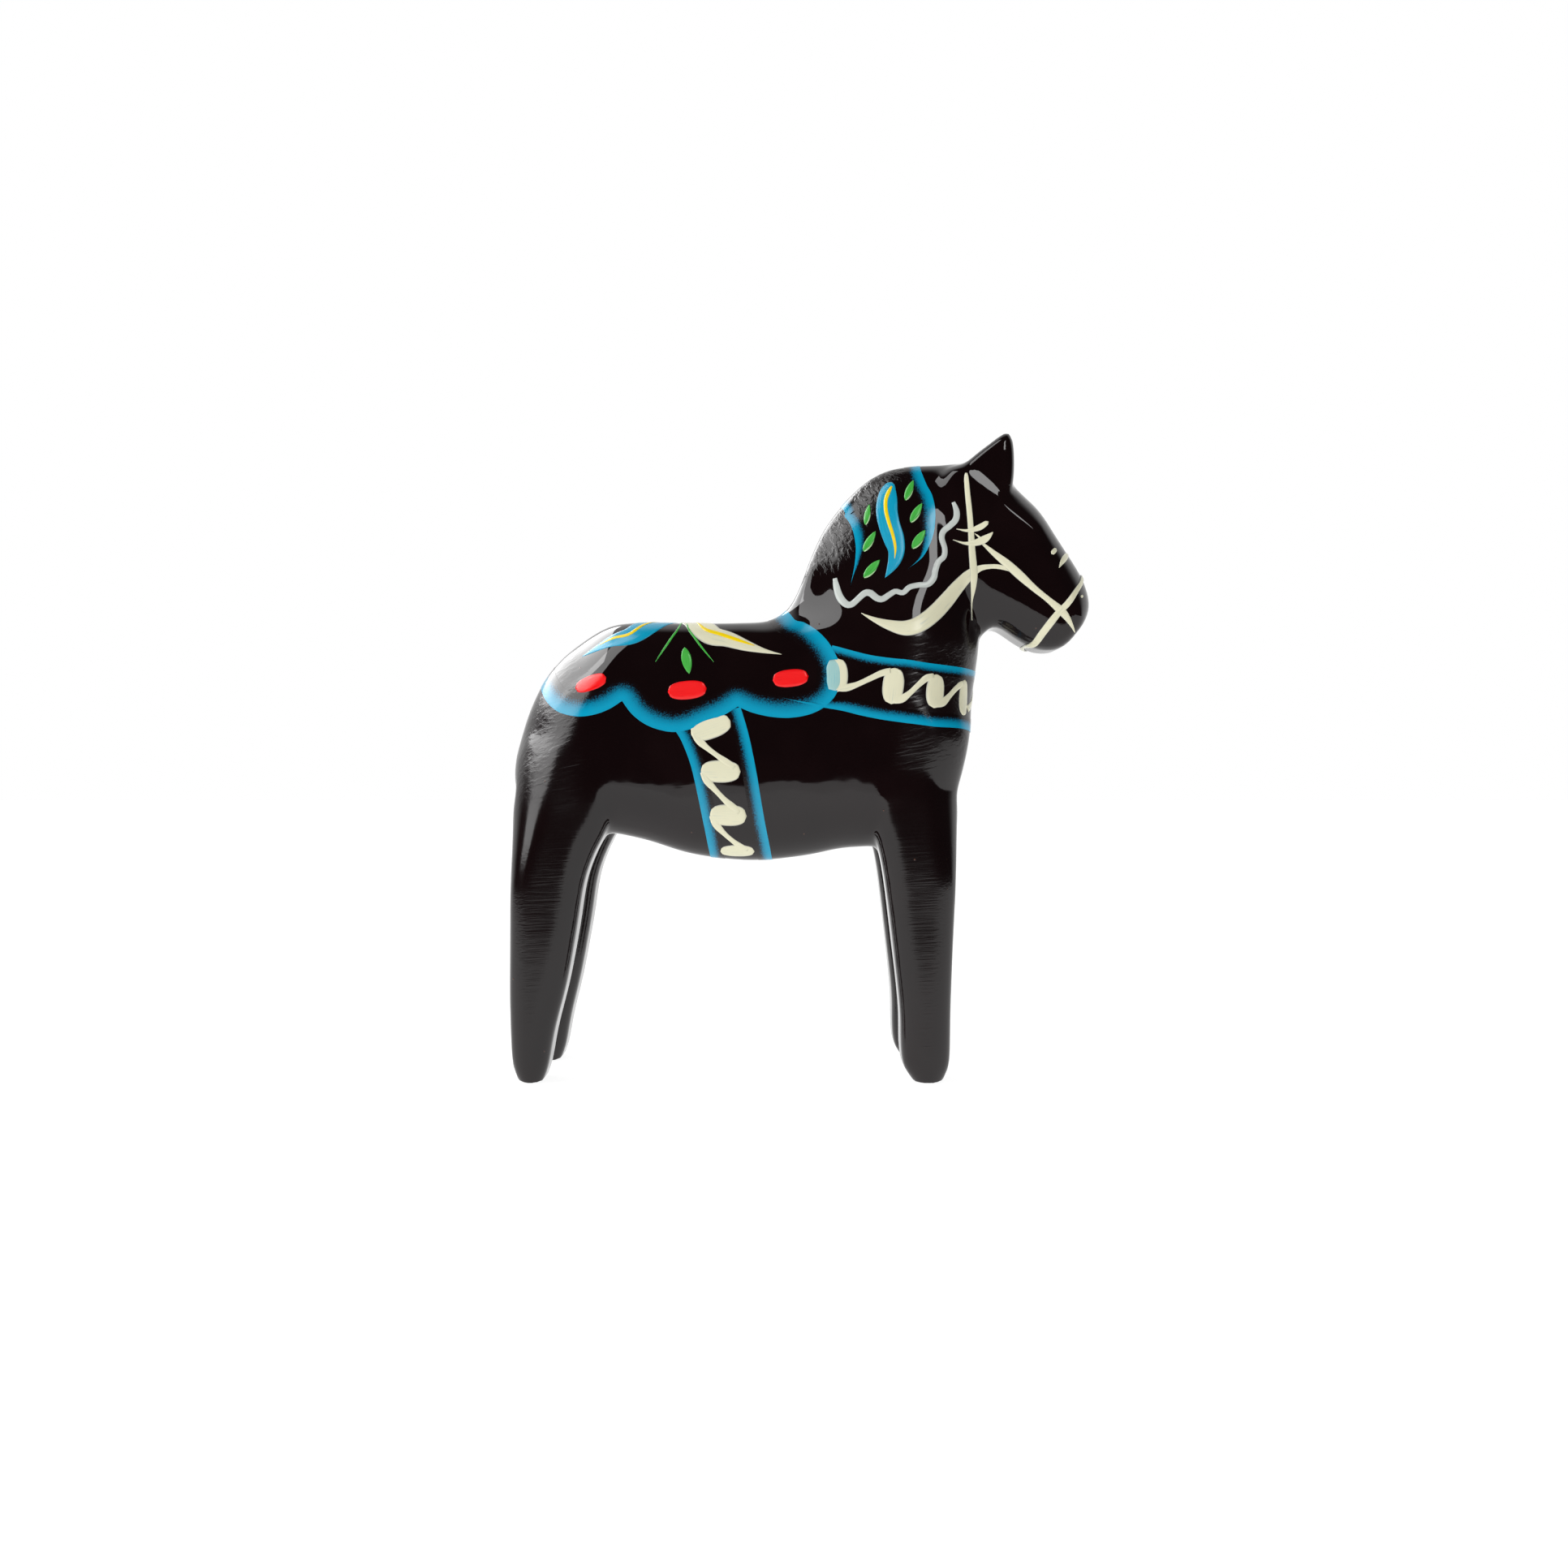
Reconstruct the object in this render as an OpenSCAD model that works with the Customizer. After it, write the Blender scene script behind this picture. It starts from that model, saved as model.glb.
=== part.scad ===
// Carved and painted wooden horse: one block of pine, one black dipped coat,
// and a thin film of paint for every group of brushed or sprayed marks.
// +X is the way the horse faces, Y is across it, +Z is up, and the soles stand on Z = 0.

/* [Horse] */
// Height over the ear tips
horse_h = 69.85; // [56:0.05:84]
// Length from rump to nose
horse_l = 63.2; // [50:0.1:76]
// Width over the body
body_w = 20; // [17:0.5:24]
// Width of the neck at mid height
neck_w = 13; // [10:0.5:15]
// Width over the forehead
head_w = 10.4; // [8:0.2:12.6]
// Width of the muzzle
muzzle_w = 8.4; // [6.4:0.2:10]

/* [Legs and ears] */
// Gap sawn between the left and right legs
leg_gap = 6.4; // [5:0.2:7.8]
// Thickness of a leg at the foot, across the horse
foot_w = 6.6; // [5:0.2:8]
// How far a foot's outer face stands out from the body's side
foot_splay = 1; // [0:0.1:1.6]
// Width between the two ear tips
ear_spread = 6.6; // [5:0.2:8]
// Thickness of an ear at its root
ear_w = 3.6; // [2.8:0.1:4.4]

/* [Paint] */
// Thickness of the black dipped coat
coat_t = 0.2; // [0.1:0.05:0.35]
// Thickness of a brushed mark
brush_t = 0.12; // [0.06:0.02:0.2]
// Thickness of a sprayed band
spray_t = 0.06; // [0.04:0.01:0.12]
// Width of the saddle's sprayed edge
border_w = 1.8; // [1.2:0.1:2.6]

/* [Hidden] */

// The horse is laid out on a drawing of its side, and these stretch the drawing to size.
draw_h = 69.85;
draw_l = 63.2;
sx = horse_l / draw_l;
sz = horse_h / draw_h;
block = 2 * (horse_h + horse_l); // larger than the horse every way
curve_steps = 3;                 // straight pieces between two points of a curve
bead_sides = 20;                 // sides of the discs that the body is carved from
brush_sides = 10;                // sides of a round dab of paint

black = "#141214";
blue = "#00a3c4";
cream = "#f1ebc6";
grey = "#cfd8d2";
green = "#4cb944";
yellow = "#ffe000";
red = "#f5120f";

// ---------------------------------------------------------------- carved shape

// A bead is a flat disc with carved edges: share of its radius, share of its half width.
ring = [[1, 0.5], [0.88, 0.82], [0.6, 1]];
trunk = body_w / 2;
hip_y = (leg_gap / 2 + trunk) / 2;
hip_w = (trunk - leg_gap / 2) / 2;
sole_y = trunk + foot_splay - foot_w / 2;
ear_join = 0.2; // how far the ears' roots run into each other over the middle

// Each bead: place along, height, radius, half width.
haunch = [-25.1, 32, 6.5, trunk];
rump = [-18.5, 37.5, 11.5, trunk];
belly = [-7, 36.2, 12.8, trunk];
shoulder = [6, 36.8, 12.2, trunk];
chest = [9.8, 39.2, 8.6, trunk * 0.92];
breast = [12, 32, 5.4, trunk];
neck_root = [8.8, 50, 10.3, neck_w * 0.62];
neck_top = [12.5, 56.6, 10, neck_w * 0.45];
forehead = [20.2, 60.8, 5, head_w / 2];
brow = [24, 59.4, 2.9, head_w * 0.4];
muzzle = [27.2, 50.7, 4.4, muzzle_w / 2];
jaw = [21.9, 51.3, 2.6, head_w * 0.45];

// Each leg bead: place along, height, radius, distance from the middle, half width.
hind_leg = [
    [-25.1, 32, 6.5, hip_y, hip_w],
    [-26.95, 22, 4.05, (hip_y + sole_y) / 2, (hip_w + foot_w / 2) / 2],
    [-28.05, 10, 2.95, sole_y, foot_w / 2],
    [-28.95, 1.2, 2.05, sole_y, foot_w / 2],
];
front_leg = [
    [12, 32, 5.5, hip_y, hip_w],
    [12.15, 22, 3.8, (hip_y + sole_y) / 2, (hip_w + foot_w / 2) / 2],
    [12.45, 11, 3.05, sole_y, foot_w / 2],
    [12.75, 1.6, 2.55, sole_y, foot_w / 2],
];
ear = [
    [18.9, 65.5, 1.2, ear_w / 2 - ear_join, ear_w / 2],
    [22.4, 64.9, 0.75, ear_w / 2 - ear_join, ear_w / 2],
    [22.3, 69.45, 0.4, ear_spread / 2 - 0.4, 0.4],
];

// What is left of a size once the coat is taken off it; the smallest beads keep a fifth.
function left(size, grow) = max(size + grow, size / 5);

module bead(place, y, half_w, grow) {
    translate([place.x * sx, y, place.y * sz])
        rotate([90, 0, 0])
            for (share = ring)
                scale([left(place.z * share[0] * sx, grow), left(place.z * share[0] * sz, grow), 1])
                    cylinder(r = 1, h = 2 * left(half_w * share[1], grow), center = true, $fn = bead_sides);
}

module limb(beads, grow) {
    hull()
        for (b = beads)
            bead(b, 0, b[3], grow);
}

module side_limb(beads, grow) {
    for (side = [-1, 1])
        hull()
            for (b = beads)
                bead(b, side * b[3], b[4], grow);
}

module leg(beads, grow) {
    for (i = [0 : len(beads) - 2])
        side_limb([beads[i], beads[i + 1]], grow);
}

// The whole carving, grown or shrunk all over by the same thickness except at the soles.
module horse(grow) {
    intersection() {
        union() {
            limb([haunch, rump], grow);
            limb([rump, belly], grow);
            limb([belly, shoulder], grow);
            limb([shoulder, chest], grow);
            limb([chest, breast], grow);
            limb([chest, neck_root], grow);
            limb([neck_root, neck_top], grow);
            limb([neck_top, forehead], grow);
            limb([forehead, brow, muzzle, jaw], grow);
            leg(hind_leg, grow);
            leg(front_leg, grow);
            side_limb(ear, grow);
        }
        translate([-block / 2, -block / 2, 0])
            cube(block);
    }
}

// ---------------------------------------------------------------- brush marks

// A smooth curve through points of two or three numbers.
function blend4(a, b, c, d, t) =
    b + (c - a) * t / 2 + (2 * a - 5 * b + 4 * c - d) * t * t / 2
      + (3 * b - a - 3 * c + d) * t * t * t / 2;
function curve(p) = [
    for (i = [0 : len(p) - 2], k = [0 : curve_steps - 1])
        blend4(p[max(i - 1, 0)], p[i], p[i + 1], p[min(i + 2, len(p) - 1)], k / curve_steps),
    p[len(p) - 1],
];

// The outline of a mark: points of place along, height and width on the drawing.
function flat(p) = [p.x, p.y];
function unit(v) = v / max(norm(v), 0.0001);
function across(p, i) =
    let (t = unit(flat(p[min(i + 1, len(p) - 1)]) - flat(p[max(i - 1, 0)])))
        [-t.y, t.x];
function ribbon(p) = concat(
    [for (i = [0 : len(p) - 1]) flat(p[i]) + across(p, i) * max(p[i].z, 0.06) / 2],
    [for (i = [len(p) - 1 : -1 : 0]) flat(p[i]) - across(p, i) * max(p[i].z, 0.06) / 2]
);

// A mark stretches with the horse, so that marks which meet on the drawing always meet.
module mark(p) {
    scale([sx, sz])
        polygon(ribbon(curve(p)));
}

module dab(a, b, w) {
    scale([sx, sz])
        hull()
            for (end = [a, b])
                translate(end)
                    circle(d = w, $fn = brush_sides);
}

module leaf(a, b, w) {
    m = (a + b) / 2;
    mark([[a.x, a.y, 0], [(a.x + m.x) / 2, (a.y + m.y) / 2, w * 0.85], [m.x, m.y, w],
          [(b.x + m.x) / 2, (b.y + m.y) / 2, w * 0.75], [b.x, b.y, 0]]);
}

// Paint lies on the coat wherever the shape is seen from the side, round the far side too.
module film(thickness) {
    intersection() {
        difference() {
            horse(thickness);
            horse(0);
        }
        rotate([90, 0, 0])
            linear_extrude(block, center = true)
                children();
    }
}

// ---------------------------------------------------------------- saddle

rear_lobe = [[-27.5, 41.5], [-26.6, 39.7], [-24.6, 38.75], [-22, 39.1], [-19.3, 40.5]];
middle_lobe = [[-19.3, 40.5], [-17.5, 38.5], [-15, 37.2], [-12.3, 37.1], [-9.4, 38.6], [-7.1, 40.1]];
front_lobe = [[-7.1, 40.1], [-4.4, 38.9], [-1.4, 38.5], [1.4, 39.3], [3.3, 41.2], [3.9, 43.4],
              [3.3, 46], [1.6, 48.3], [-1.1, 50.4]];
over_the_back = [[-4, 54], [-20, 60], [-36, 52]];

module saddle_cloth() {
    scale([sx, sz])
        polygon(concat(curve(rear_lobe), curve(middle_lobe), curve(front_lobe), over_the_back));
}

module border_shape() {
    difference() {
        saddle_cloth();
        offset(delta = -border_w)
            saddle_cloth();
    }
}

module rear_petal_shape() {
    mark([[-25, 45.9, 0.1], [-23, 47.1, 1.1], [-20.4, 48.3, 2], [-17.6, 49.2, 2.3], [-13.6, 50, 1.6]]);
}

module front_petal_shape() {
    mark([[-2.6, 45.9, 0.1], [-4.8, 46.7, 1], [-7, 47.8, 1.9], [-9.4, 48.9, 2.4], [-12.6, 50.2, 1.6]]);
}

module petal_vein_shape() {
    mark([[-22.6, 46.95, 0.15], [-20.4, 47.9, 0.4], [-18, 49, 0.4]]);
    mark([[-5.6, 46.8, 0.15], [-7.8, 47.7, 0.5], [-10.8, 49, 0.45]]);
}

module saddle_stem_shape() {
    mark([[-13.6, 49.4, 0.35], [-14.7, 47.3, 0.3], [-15.9, 45.1, 0.15]]);
    mark([[-12.8, 49.4, 0.35], [-11.5, 47.3, 0.3], [-9.6, 45, 0.15]]);
}

module saddle_leaf_shape() {
    leaf([-12.7, 46.2], [-12.2, 43.3], 1.15);
}

module red_dab_shape() {
    dab([-23.5, 42.1], [-22, 42.7], 1.7);
    dab([-13.3, 41.4], [-11.4, 41.7], 1.9);
    dab([-2.3, 42.6], [-0.5, 42.9], 1.8);
}

// ---------------------------------------------------------------- girth and collar

girth_dabs = [[[-8.9, 37.9], [-10.7, 37.1]], [[-8, 33.2], [-9.8, 32.9]],
              [[-7.1, 28.5], [-8.9, 28.3]], [[-6.7, 23.8], [-8.3, 23.6]]];
collar_dabs = [[[4, 43.9], [3.5, 42.7]], [[9.3, 42.7], [9.4, 41.3]], [[13.9, 42], [14.1, 40.9]]];
scroll_w = 2.2;
link_w = 0.65;

module girth_band_shape() {
    mark([[-13, 38.6, 1.1], [-12.2, 36, 1.1], [-11.3, 33, 1.1], [-10.6, 29.5, 1.1], [-9.7, 25, 1.2],
          [-9.3, 22, 1.2]]);
    mark([[-7.3, 40.6, 0.9], [-6.6, 37.5, 1], [-5.9, 34.5, 1.1], [-5.2, 31, 1.1], [-4.4, 26.5, 1.2],
          [-3.8, 22, 1.2]]);
}

module girth_scroll_shape() {
    for (d = girth_dabs)
        dab(d[0], d[1], scroll_w);
    for (i = [0 : len(girth_dabs) - 2]) {
        from = girth_dabs[i][1] + [-0.5, -0.6];
        to = girth_dabs[i + 1][0] + [0.6, 0.6];
        mid = (from + to) / 2;
        mark([[from.x, from.y, 1], [(from.x + mid.x) / 2, (from.y + mid.y) / 2 - 0.1, link_w],
              [mid.x, mid.y, link_w],
              [(to.x + mid.x) / 2, (to.y + mid.y) / 2 + 0.1, link_w], [to.x, to.y, 1]]);
    }
}

module collar_band_shape() {
    mark([[2.6, 46.2, 0.9], [6, 45.1, 0.9], [10, 44.4, 0.9], [14, 43.9, 0.9], [20, 43.2, 0.9]]);
    mark([[-2.3, 40.6, 0.15], [0.5, 40.4, 0.7], [4, 39.8, 1.1], [8, 39, 1.1], [12, 38.5, 1.1],
          [20, 37.3, 1.1]]);
}

module collar_scroll_shape() {
    for (d = collar_dabs)
        dab(d[0], d[1], scroll_w);
    dab([17.5, 42.3], [17.4, 39.7], 1.1);
    mark([[3.6, 41.8, 0.7], [5, 42, link_w], [6.8, 42.9, link_w], [8.6, 43.5, 0.9]]);
    mark([[9.9, 40.5, 1], [10.8, 41, link_w], [12, 42.1, link_w], [13.4, 42.9, 0.9]]);
    mark([[14.6, 40.3, 1], [15.3, 40.9, link_w], [16.3, 41.9, link_w], [17.3, 42.6, 0.8]]);
}

// ---------------------------------------------------------------- mane

module mane_band_shape() {
    mark([[3.8, 62.6, 1.2], [5.1, 60.4, 1.3], [5.9, 58.6, 1.15], [6, 56.6, 0.85], [5.7, 54.6, 0.5],
          [5.1, 52.8, 0]]);
    mark([[11.7, 66.8, 1.1], [12.9, 63.9, 1.1], [13.6, 62, 1.1], [13.6, 59.5, 1.1], [13, 57.4, 0.9],
          [12.2, 56, 0.6],
          [11.2, 54.6, 0]]);
}

module plume_shape() {
    mark([[9.6, 64.4, 0.5], [9.35, 63.4, 1.7], [9.1, 62, 2.2], [9.2, 60.2, 2.3], [9.7, 58.2, 2.25],
          [9.95, 56.8, 1.9],
          [9.7, 55.3, 1.2], [8.75, 53.8, 0]]);
}

module plume_vein_shape() {
    mark([[9.6, 63.9, 0.3], [9, 62.6, 0.4], [8.9, 61.2, 0.4], [9.3, 59.6, 0.38], [9.75, 57.8, 0.32],
          [9.75, 55.8, 0]]);
}

module mane_leaf_shape() {
    leaf([11.85, 64.5], [10.95, 62.5], 0.85);
    leaf([12.7, 61.8], [11.45, 59.9], 0.85);
    leaf([13, 58.9], [11.55, 56.95], 0.85);
    leaf([7.1, 61.7], [6.7, 59.8], 0.75);
    leaf([7.7, 58.7], [6.4, 56.8], 0.8);
    leaf([8.1, 55.6], [6.4, 53.8], 0.85);
}

module mane_edge_shape() {
    mark([[3.4, 53.6, 0.55], [3.6, 52.4, 0.75], [4.6, 50.8, 0.8], [6.7, 52.1, 0.75], [8.3, 51.3, 0.75],
          [9.7, 52.1, 0.65], [10.8, 52.1, 0.65], [11.8, 52.9, 0.65], [13.4, 53.1, 0.65], [14.1, 54.3, 0.65],
          [15.2, 56.4, 0.65], [14.8, 58.3, 0.65], [16.2, 60, 0.7], [16.3, 62, 0.5]]);
}

// ---------------------------------------------------------------- bridle

module cheek_shape() {
    mark([[17.55, 65.1, 0.3], [17.75, 63, 0.75], [18.05, 59.5, 0.75], [18.35, 56.5, 0.8], [18.45, 54, 0.85],
          [18.2, 51.3, 0.1]]);
}

module rein_shape() {
    mark([[6.2, 49.9, 0.1], [8, 48.7, 1], [10.4, 47.9, 1.9], [12.6, 48.7, 2.1], [14.6, 50.9, 2.1],
          [16.4, 53.1, 1.7],
          [18.8, 54.7, 0.95], [20.4, 55.1, 0.6], [22.2, 54.9, 0.45]]);
}

module nose_strap_shape() {
    mark([[19.5, 57.5, 0.35], [21.6, 55.7, 0.8], [22.6, 55, 0.95], [24.9, 52.8, 0.85], [27.4, 50.7, 0.75],
          [28.6, 49.4, 0.75], [29.6, 48.3, 0.2]]);
}

module noseband_shape() {
    mark([[31.4, 54.7, 0.5], [30.1, 53.2, 0.55], [28.6, 51.2, 0.55], [27.2, 49.7, 0.75], [26.3, 48.3, 1],
          [25.2, 46.7, 0.7], [23.8, 44.8, 0.6]]);
}

module brow_shape() {
    mark([[16.6, 59.1, 0], [17.8, 58.9, 0.35], [19.2, 59.4, 0.8], [20, 59.8, 0.3]]);
    mark([[16.2, 57.9, 0], [17.8, 57.7, 0.3], [19.3, 58, 0.85], [20.5, 58.8, 0.1]]);
}

module face_dab_shape() {
    dab([27, 56.6], [27.4, 57.1], 0.5);
    mark([[27.7, 55.1, 0], [28.2, 56, 0.6], [29.2, 57.4, 0.9]]);
}

// ---------------------------------------------------------------- pieces

module wood_core() {
    color("burlywood")
        horse(-coat_t);
}

module black_coat() {
    color(black)
        difference() {
            horse(0);
            horse(-coat_t);
        }
}

module saddle_border() {
    color(blue)
        film(spray_t)
            difference() {
                border_shape();
                girth_scroll_shape();
            }
}

module saddle_rear_petals() {
    color(blue)
        film(brush_t)
            difference() {
                rear_petal_shape();
                petal_vein_shape();
                saddle_stem_shape();
            }
}

module saddle_front_petals() {
    color(cream)
        film(brush_t)
            difference() {
                front_petal_shape();
                petal_vein_shape();
                saddle_stem_shape();
            }
}

module petal_veins() {
    color(yellow)
        film(brush_t)
            petal_vein_shape();
}

module saddle_stems() {
    color(green)
        film(brush_t)
            saddle_stem_shape();
}

module saddle_leaves() {
    color(green)
        film(brush_t)
            saddle_leaf_shape();
}

module saddle_red_dabs() {
    color(red)
        film(brush_t)
            red_dab_shape();
}

module girth_bands() {
    color(blue)
        film(spray_t)
            difference() {
                girth_band_shape();
                saddle_cloth();
                girth_scroll_shape();
            }
}

module girth_scroll() {
    color(cream)
        film(brush_t)
            girth_scroll_shape();
}

module collar_bands() {
    color(blue)
        film(spray_t)
            difference() {
                collar_band_shape();
                border_shape();
                collar_scroll_shape();
            }
}

module collar_scroll() {
    color(cream)
        film(brush_t)
            difference() {
                collar_scroll_shape();
                border_shape();
            }
}

module mane_bands() {
    color(blue)
        film(spray_t)
            difference() {
                mane_band_shape();
                mane_leaf_shape();
            }
}

module mane_plumes() {
    color(blue)
        film(brush_t)
            difference() {
                plume_shape();
                plume_vein_shape();
            }
}

module plume_veins() {
    color(yellow)
        film(brush_t)
            plume_vein_shape();
}

module mane_leaves() {
    color(green)
        film(brush_t)
            mane_leaf_shape();
}

module mane_edge_lines() {
    color(grey)
        film(brush_t)
            mane_edge_shape();
}

module cheek_straps() {
    color(cream)
        film(brush_t)
            cheek_shape();
}

module reins() {
    color(cream)
        film(brush_t)
            difference() {
                rein_shape();
                cheek_shape();
            }
}

module nose_straps() {
    color(cream)
        film(brush_t)
            difference() {
                nose_strap_shape();
                rein_shape();
                brow_shape();
            }
}

module noseband() {
    color(cream)
        film(brush_t)
            difference() {
                noseband_shape();
                nose_strap_shape();
            }
}

module brow_dabs() {
    color(cream)
        film(brush_t)
            difference() {
                brow_shape();
                cheek_shape();
            }
}

module face_dabs() {
    color(cream)
        film(brush_t)
            face_dab_shape();
}

wood_core();
black_coat();
saddle_border();
saddle_rear_petals();
saddle_front_petals();
petal_veins();
saddle_stems();
saddle_leaves();
saddle_red_dabs();
girth_bands();
girth_scroll();
collar_bands();
collar_scroll();
mane_bands();
mane_plumes();
plume_veins();
mane_leaves();
mane_edge_lines();
cheek_straps();
reins();
nose_straps();
noseband();
brow_dabs();
face_dabs();
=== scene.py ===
import math
import bpy
import numpy as np
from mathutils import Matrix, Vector


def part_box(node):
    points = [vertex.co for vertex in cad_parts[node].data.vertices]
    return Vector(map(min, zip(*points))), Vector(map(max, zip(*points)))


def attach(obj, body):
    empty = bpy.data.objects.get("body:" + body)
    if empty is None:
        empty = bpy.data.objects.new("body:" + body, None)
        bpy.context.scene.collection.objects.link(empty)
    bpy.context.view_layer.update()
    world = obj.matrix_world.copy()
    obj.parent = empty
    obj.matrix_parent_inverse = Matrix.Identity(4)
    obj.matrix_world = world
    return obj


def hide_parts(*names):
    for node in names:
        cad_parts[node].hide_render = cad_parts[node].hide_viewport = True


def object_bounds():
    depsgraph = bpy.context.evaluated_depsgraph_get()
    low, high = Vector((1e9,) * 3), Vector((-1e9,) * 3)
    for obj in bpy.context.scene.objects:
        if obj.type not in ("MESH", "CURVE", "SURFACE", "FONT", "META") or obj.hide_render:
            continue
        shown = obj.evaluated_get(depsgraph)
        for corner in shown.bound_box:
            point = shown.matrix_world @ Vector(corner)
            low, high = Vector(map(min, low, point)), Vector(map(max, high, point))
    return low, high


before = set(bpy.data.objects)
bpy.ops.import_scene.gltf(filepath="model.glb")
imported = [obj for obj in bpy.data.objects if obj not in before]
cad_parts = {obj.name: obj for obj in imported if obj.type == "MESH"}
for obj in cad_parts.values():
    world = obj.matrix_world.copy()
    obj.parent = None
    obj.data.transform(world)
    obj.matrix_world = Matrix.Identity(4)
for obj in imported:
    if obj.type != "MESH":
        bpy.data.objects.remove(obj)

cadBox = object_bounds()  # the CAD model's box, before anything is added
coatLow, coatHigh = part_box("black_coat")

# The horse is laid out in millimetres on a drawing of its side, then stretched to the frame's size.
drawing = {"length": 63.2, "width": 22.0, "height": 69.85}
stretch = np.array([
    (coatHigh.x - coatLow.x) / drawing["length"],
    (coatHigh.y - coatLow.y) / drawing["width"],
    (coatHigh.z - coatLow.z) / drawing["height"],
])
drawingOrigin = np.array([(coatLow.x + coatHigh.x) / 2, (coatLow.y + coatHigh.y) / 2, coatLow.z])


def toFrame(points):
    return points * stretch + drawingOrigin


def linear(hexColour):
    # sRGB hex to the linear colour that a shader takes
    parts = [int(hexColour[i:i + 2], 16) / 255 for i in (1, 3, 5)]
    return [c / 12.92 if c <= 0.04045 else ((c + 0.055) / 1.055) ** 2.4 for c in parts] + [1.0]


def ramp(value, start, end):
    # 0 before start, 1 after end, easing in and out between them
    t = np.clip((value - start) / (end - start), 0, 1)
    return t * t * (3 - 2 * t)


def unit(vectors):
    return vectors / np.maximum(np.linalg.norm(vectors, axis=1), 1e-9)[:, None]


def runLengths(points):
    # how far along a line each of its points is
    return np.concatenate([[0], np.cumsum(np.linalg.norm(np.diff(points, axis=0), axis=1))])


def smoothLine(points, steps, closed=False):
    # a curve that passes through every given point
    p = np.array(points, float)
    n = len(p)
    spans = n if closed else n - 1
    t = (np.arange(steps) / steps)[:, None]
    out = []
    for i in range(spans):
        if closed:
            a, b, c, d = p[i - 1], p[i], p[(i + 1) % n], p[(i + 2) % n]
        else:
            a, b, c, d = p[max(i - 1, 0)], p[i], p[i + 1], p[min(i + 2, n - 1)]
        out.append(b + (c - a) * t / 2 + (2 * a - 5 * b + 4 * c - d) * t ** 2 / 2
                   + (3 * b - a - 3 * c + d) * t ** 3 / 2)
    if not closed:
        out.append(p[-1:])
    return np.vstack(out)


# ---- the carving, as a field that is negative inside the wood

# all in mm on the drawing
carving = {
    "cell": 0.45,  # grid spacing
    "margin": 1.4,  # empty grid round the horse
    "trunkHalf": 9.6,  # half width over the belly
    "trunkCrown": 110,  # radius that the flat sides are dressed to
    "fullestHeight": 31.8,  # where the sides stand out most
    "crownMost": 1.0,  # the most that they fall away from there
    "crownNeck": 0.6,  # share of that fall which the neck is spared
    "rumpNarrowing": 0.4,
    "neckTaper": [(40, 0), (44, 0.1), (47, 0.3), (50, 1.6), (54, 2.6), (58, 3.4), (62, 4.0), (67, 4.4)],
    "edgeCut": 4.6,  # how far in from the outline the trunk's corners are taken off,
    "edgeRounding": 3.6,  # how much further on the rump and shoulder,
    "edgeNeck": 1.6,  # and how much less up the neck
    "sideCut": 3.6,  # the same three, across the horse
    "sideRounding": 2.6,
    "sideNeck": 3.2,
    "cutPower": 1.6,  # shape of a taken-off corner: 1 is a flat bevel and 2 a round
    "headHalf": 4.85,
    "muzzleHalf": 4.5,
    "browRidge": [(22.0, 62.0), (25.3, 59.3), (28.9, 52.2)],  # the face falls away in front of this edge
    "browFall": 0.8,
    "jawRidge": [(19.0, 52.9), (26.1, 49.2)],  # and the jaw below this one
    "jawFall": 0.3,
    "headCut": (1.1, 1.1, 1.4),  # corners of the head: in the side view, across, and their power
    "headFillet": 0.9,
    "earMiddle": 2.9,  # an ear's middle from the horse's, at its root
    "earSpread": 0.5,  # how much further out the tip is
    "earHalf": 1.75,
    "earThinning": 0.9,
    "earCut": (0.6, 0.7, 1.4),
    "earFillet": 0.4,
    "legOuterFoot": 11.0,  # outer face of a leg from the middle, at the floor
    "legSplay": 0.042,  # how fast it comes in with height
    "legSunk": 1.3,  # how far its top is sunk in the rounded chest or rump
    "legInnerTop": 3.2,  # inner face of a leg at the belly
    "legInnerFoot": 3.8,  # and at the floor
    "legHeight": 26,
    "legCut": (2.0, 1.4, 1.35),  # corners of a leg at the foot,
    "legCutTop": (5.0, 3.6, 0.4),  # and what is added on the outside at the top
    "legFillet": 0.3,
    "handWaviness": 0.006,  # how far the knife strays from a true surface
    "waves": 7,
    "waveLength": (6, 15),
    "seed": 7,
}

trunkOutline = [
    (-4.5, 49.15), (-8, 49), (-14, 49), (-19, 49), (-21.5, 48.6), (-24, 47.3), (-26.5, 45.3), (-28.5, 42.7),
    (-30, 39.4), (-30.9, 36.5), (-31.35, 34), (-31.2, 31.5), (-30.2, 29), (-28, 27.3), (-25, 26.5), (-21.5, 26.4),
    (-17, 25.5), (-12, 24), (-6, 23.3), (0, 23.8), (4, 24.6), (8, 24.9), (12, 25.8), (14.6, 27.6), (16.4, 30.6),
    (17.4, 34), (18, 37.5), (18.35, 40.5), (18.8, 43.5), (19.15, 46), (19.5, 50), (19.7, 55), (19.5, 61),
    (18.6, 65.4), (17, 66.7), (14.5, 66.65), (12, 66.55), (10, 66.3), (8.5, 65.8), (7, 64.9), (5.5, 63.6),
    (4, 61.9), (2.5, 59.8), (1.5, 57.9), (0.6, 55.8), (-0.3, 53.3), (-1.3, 51.3), (-2.6, 49.9),
]
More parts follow.
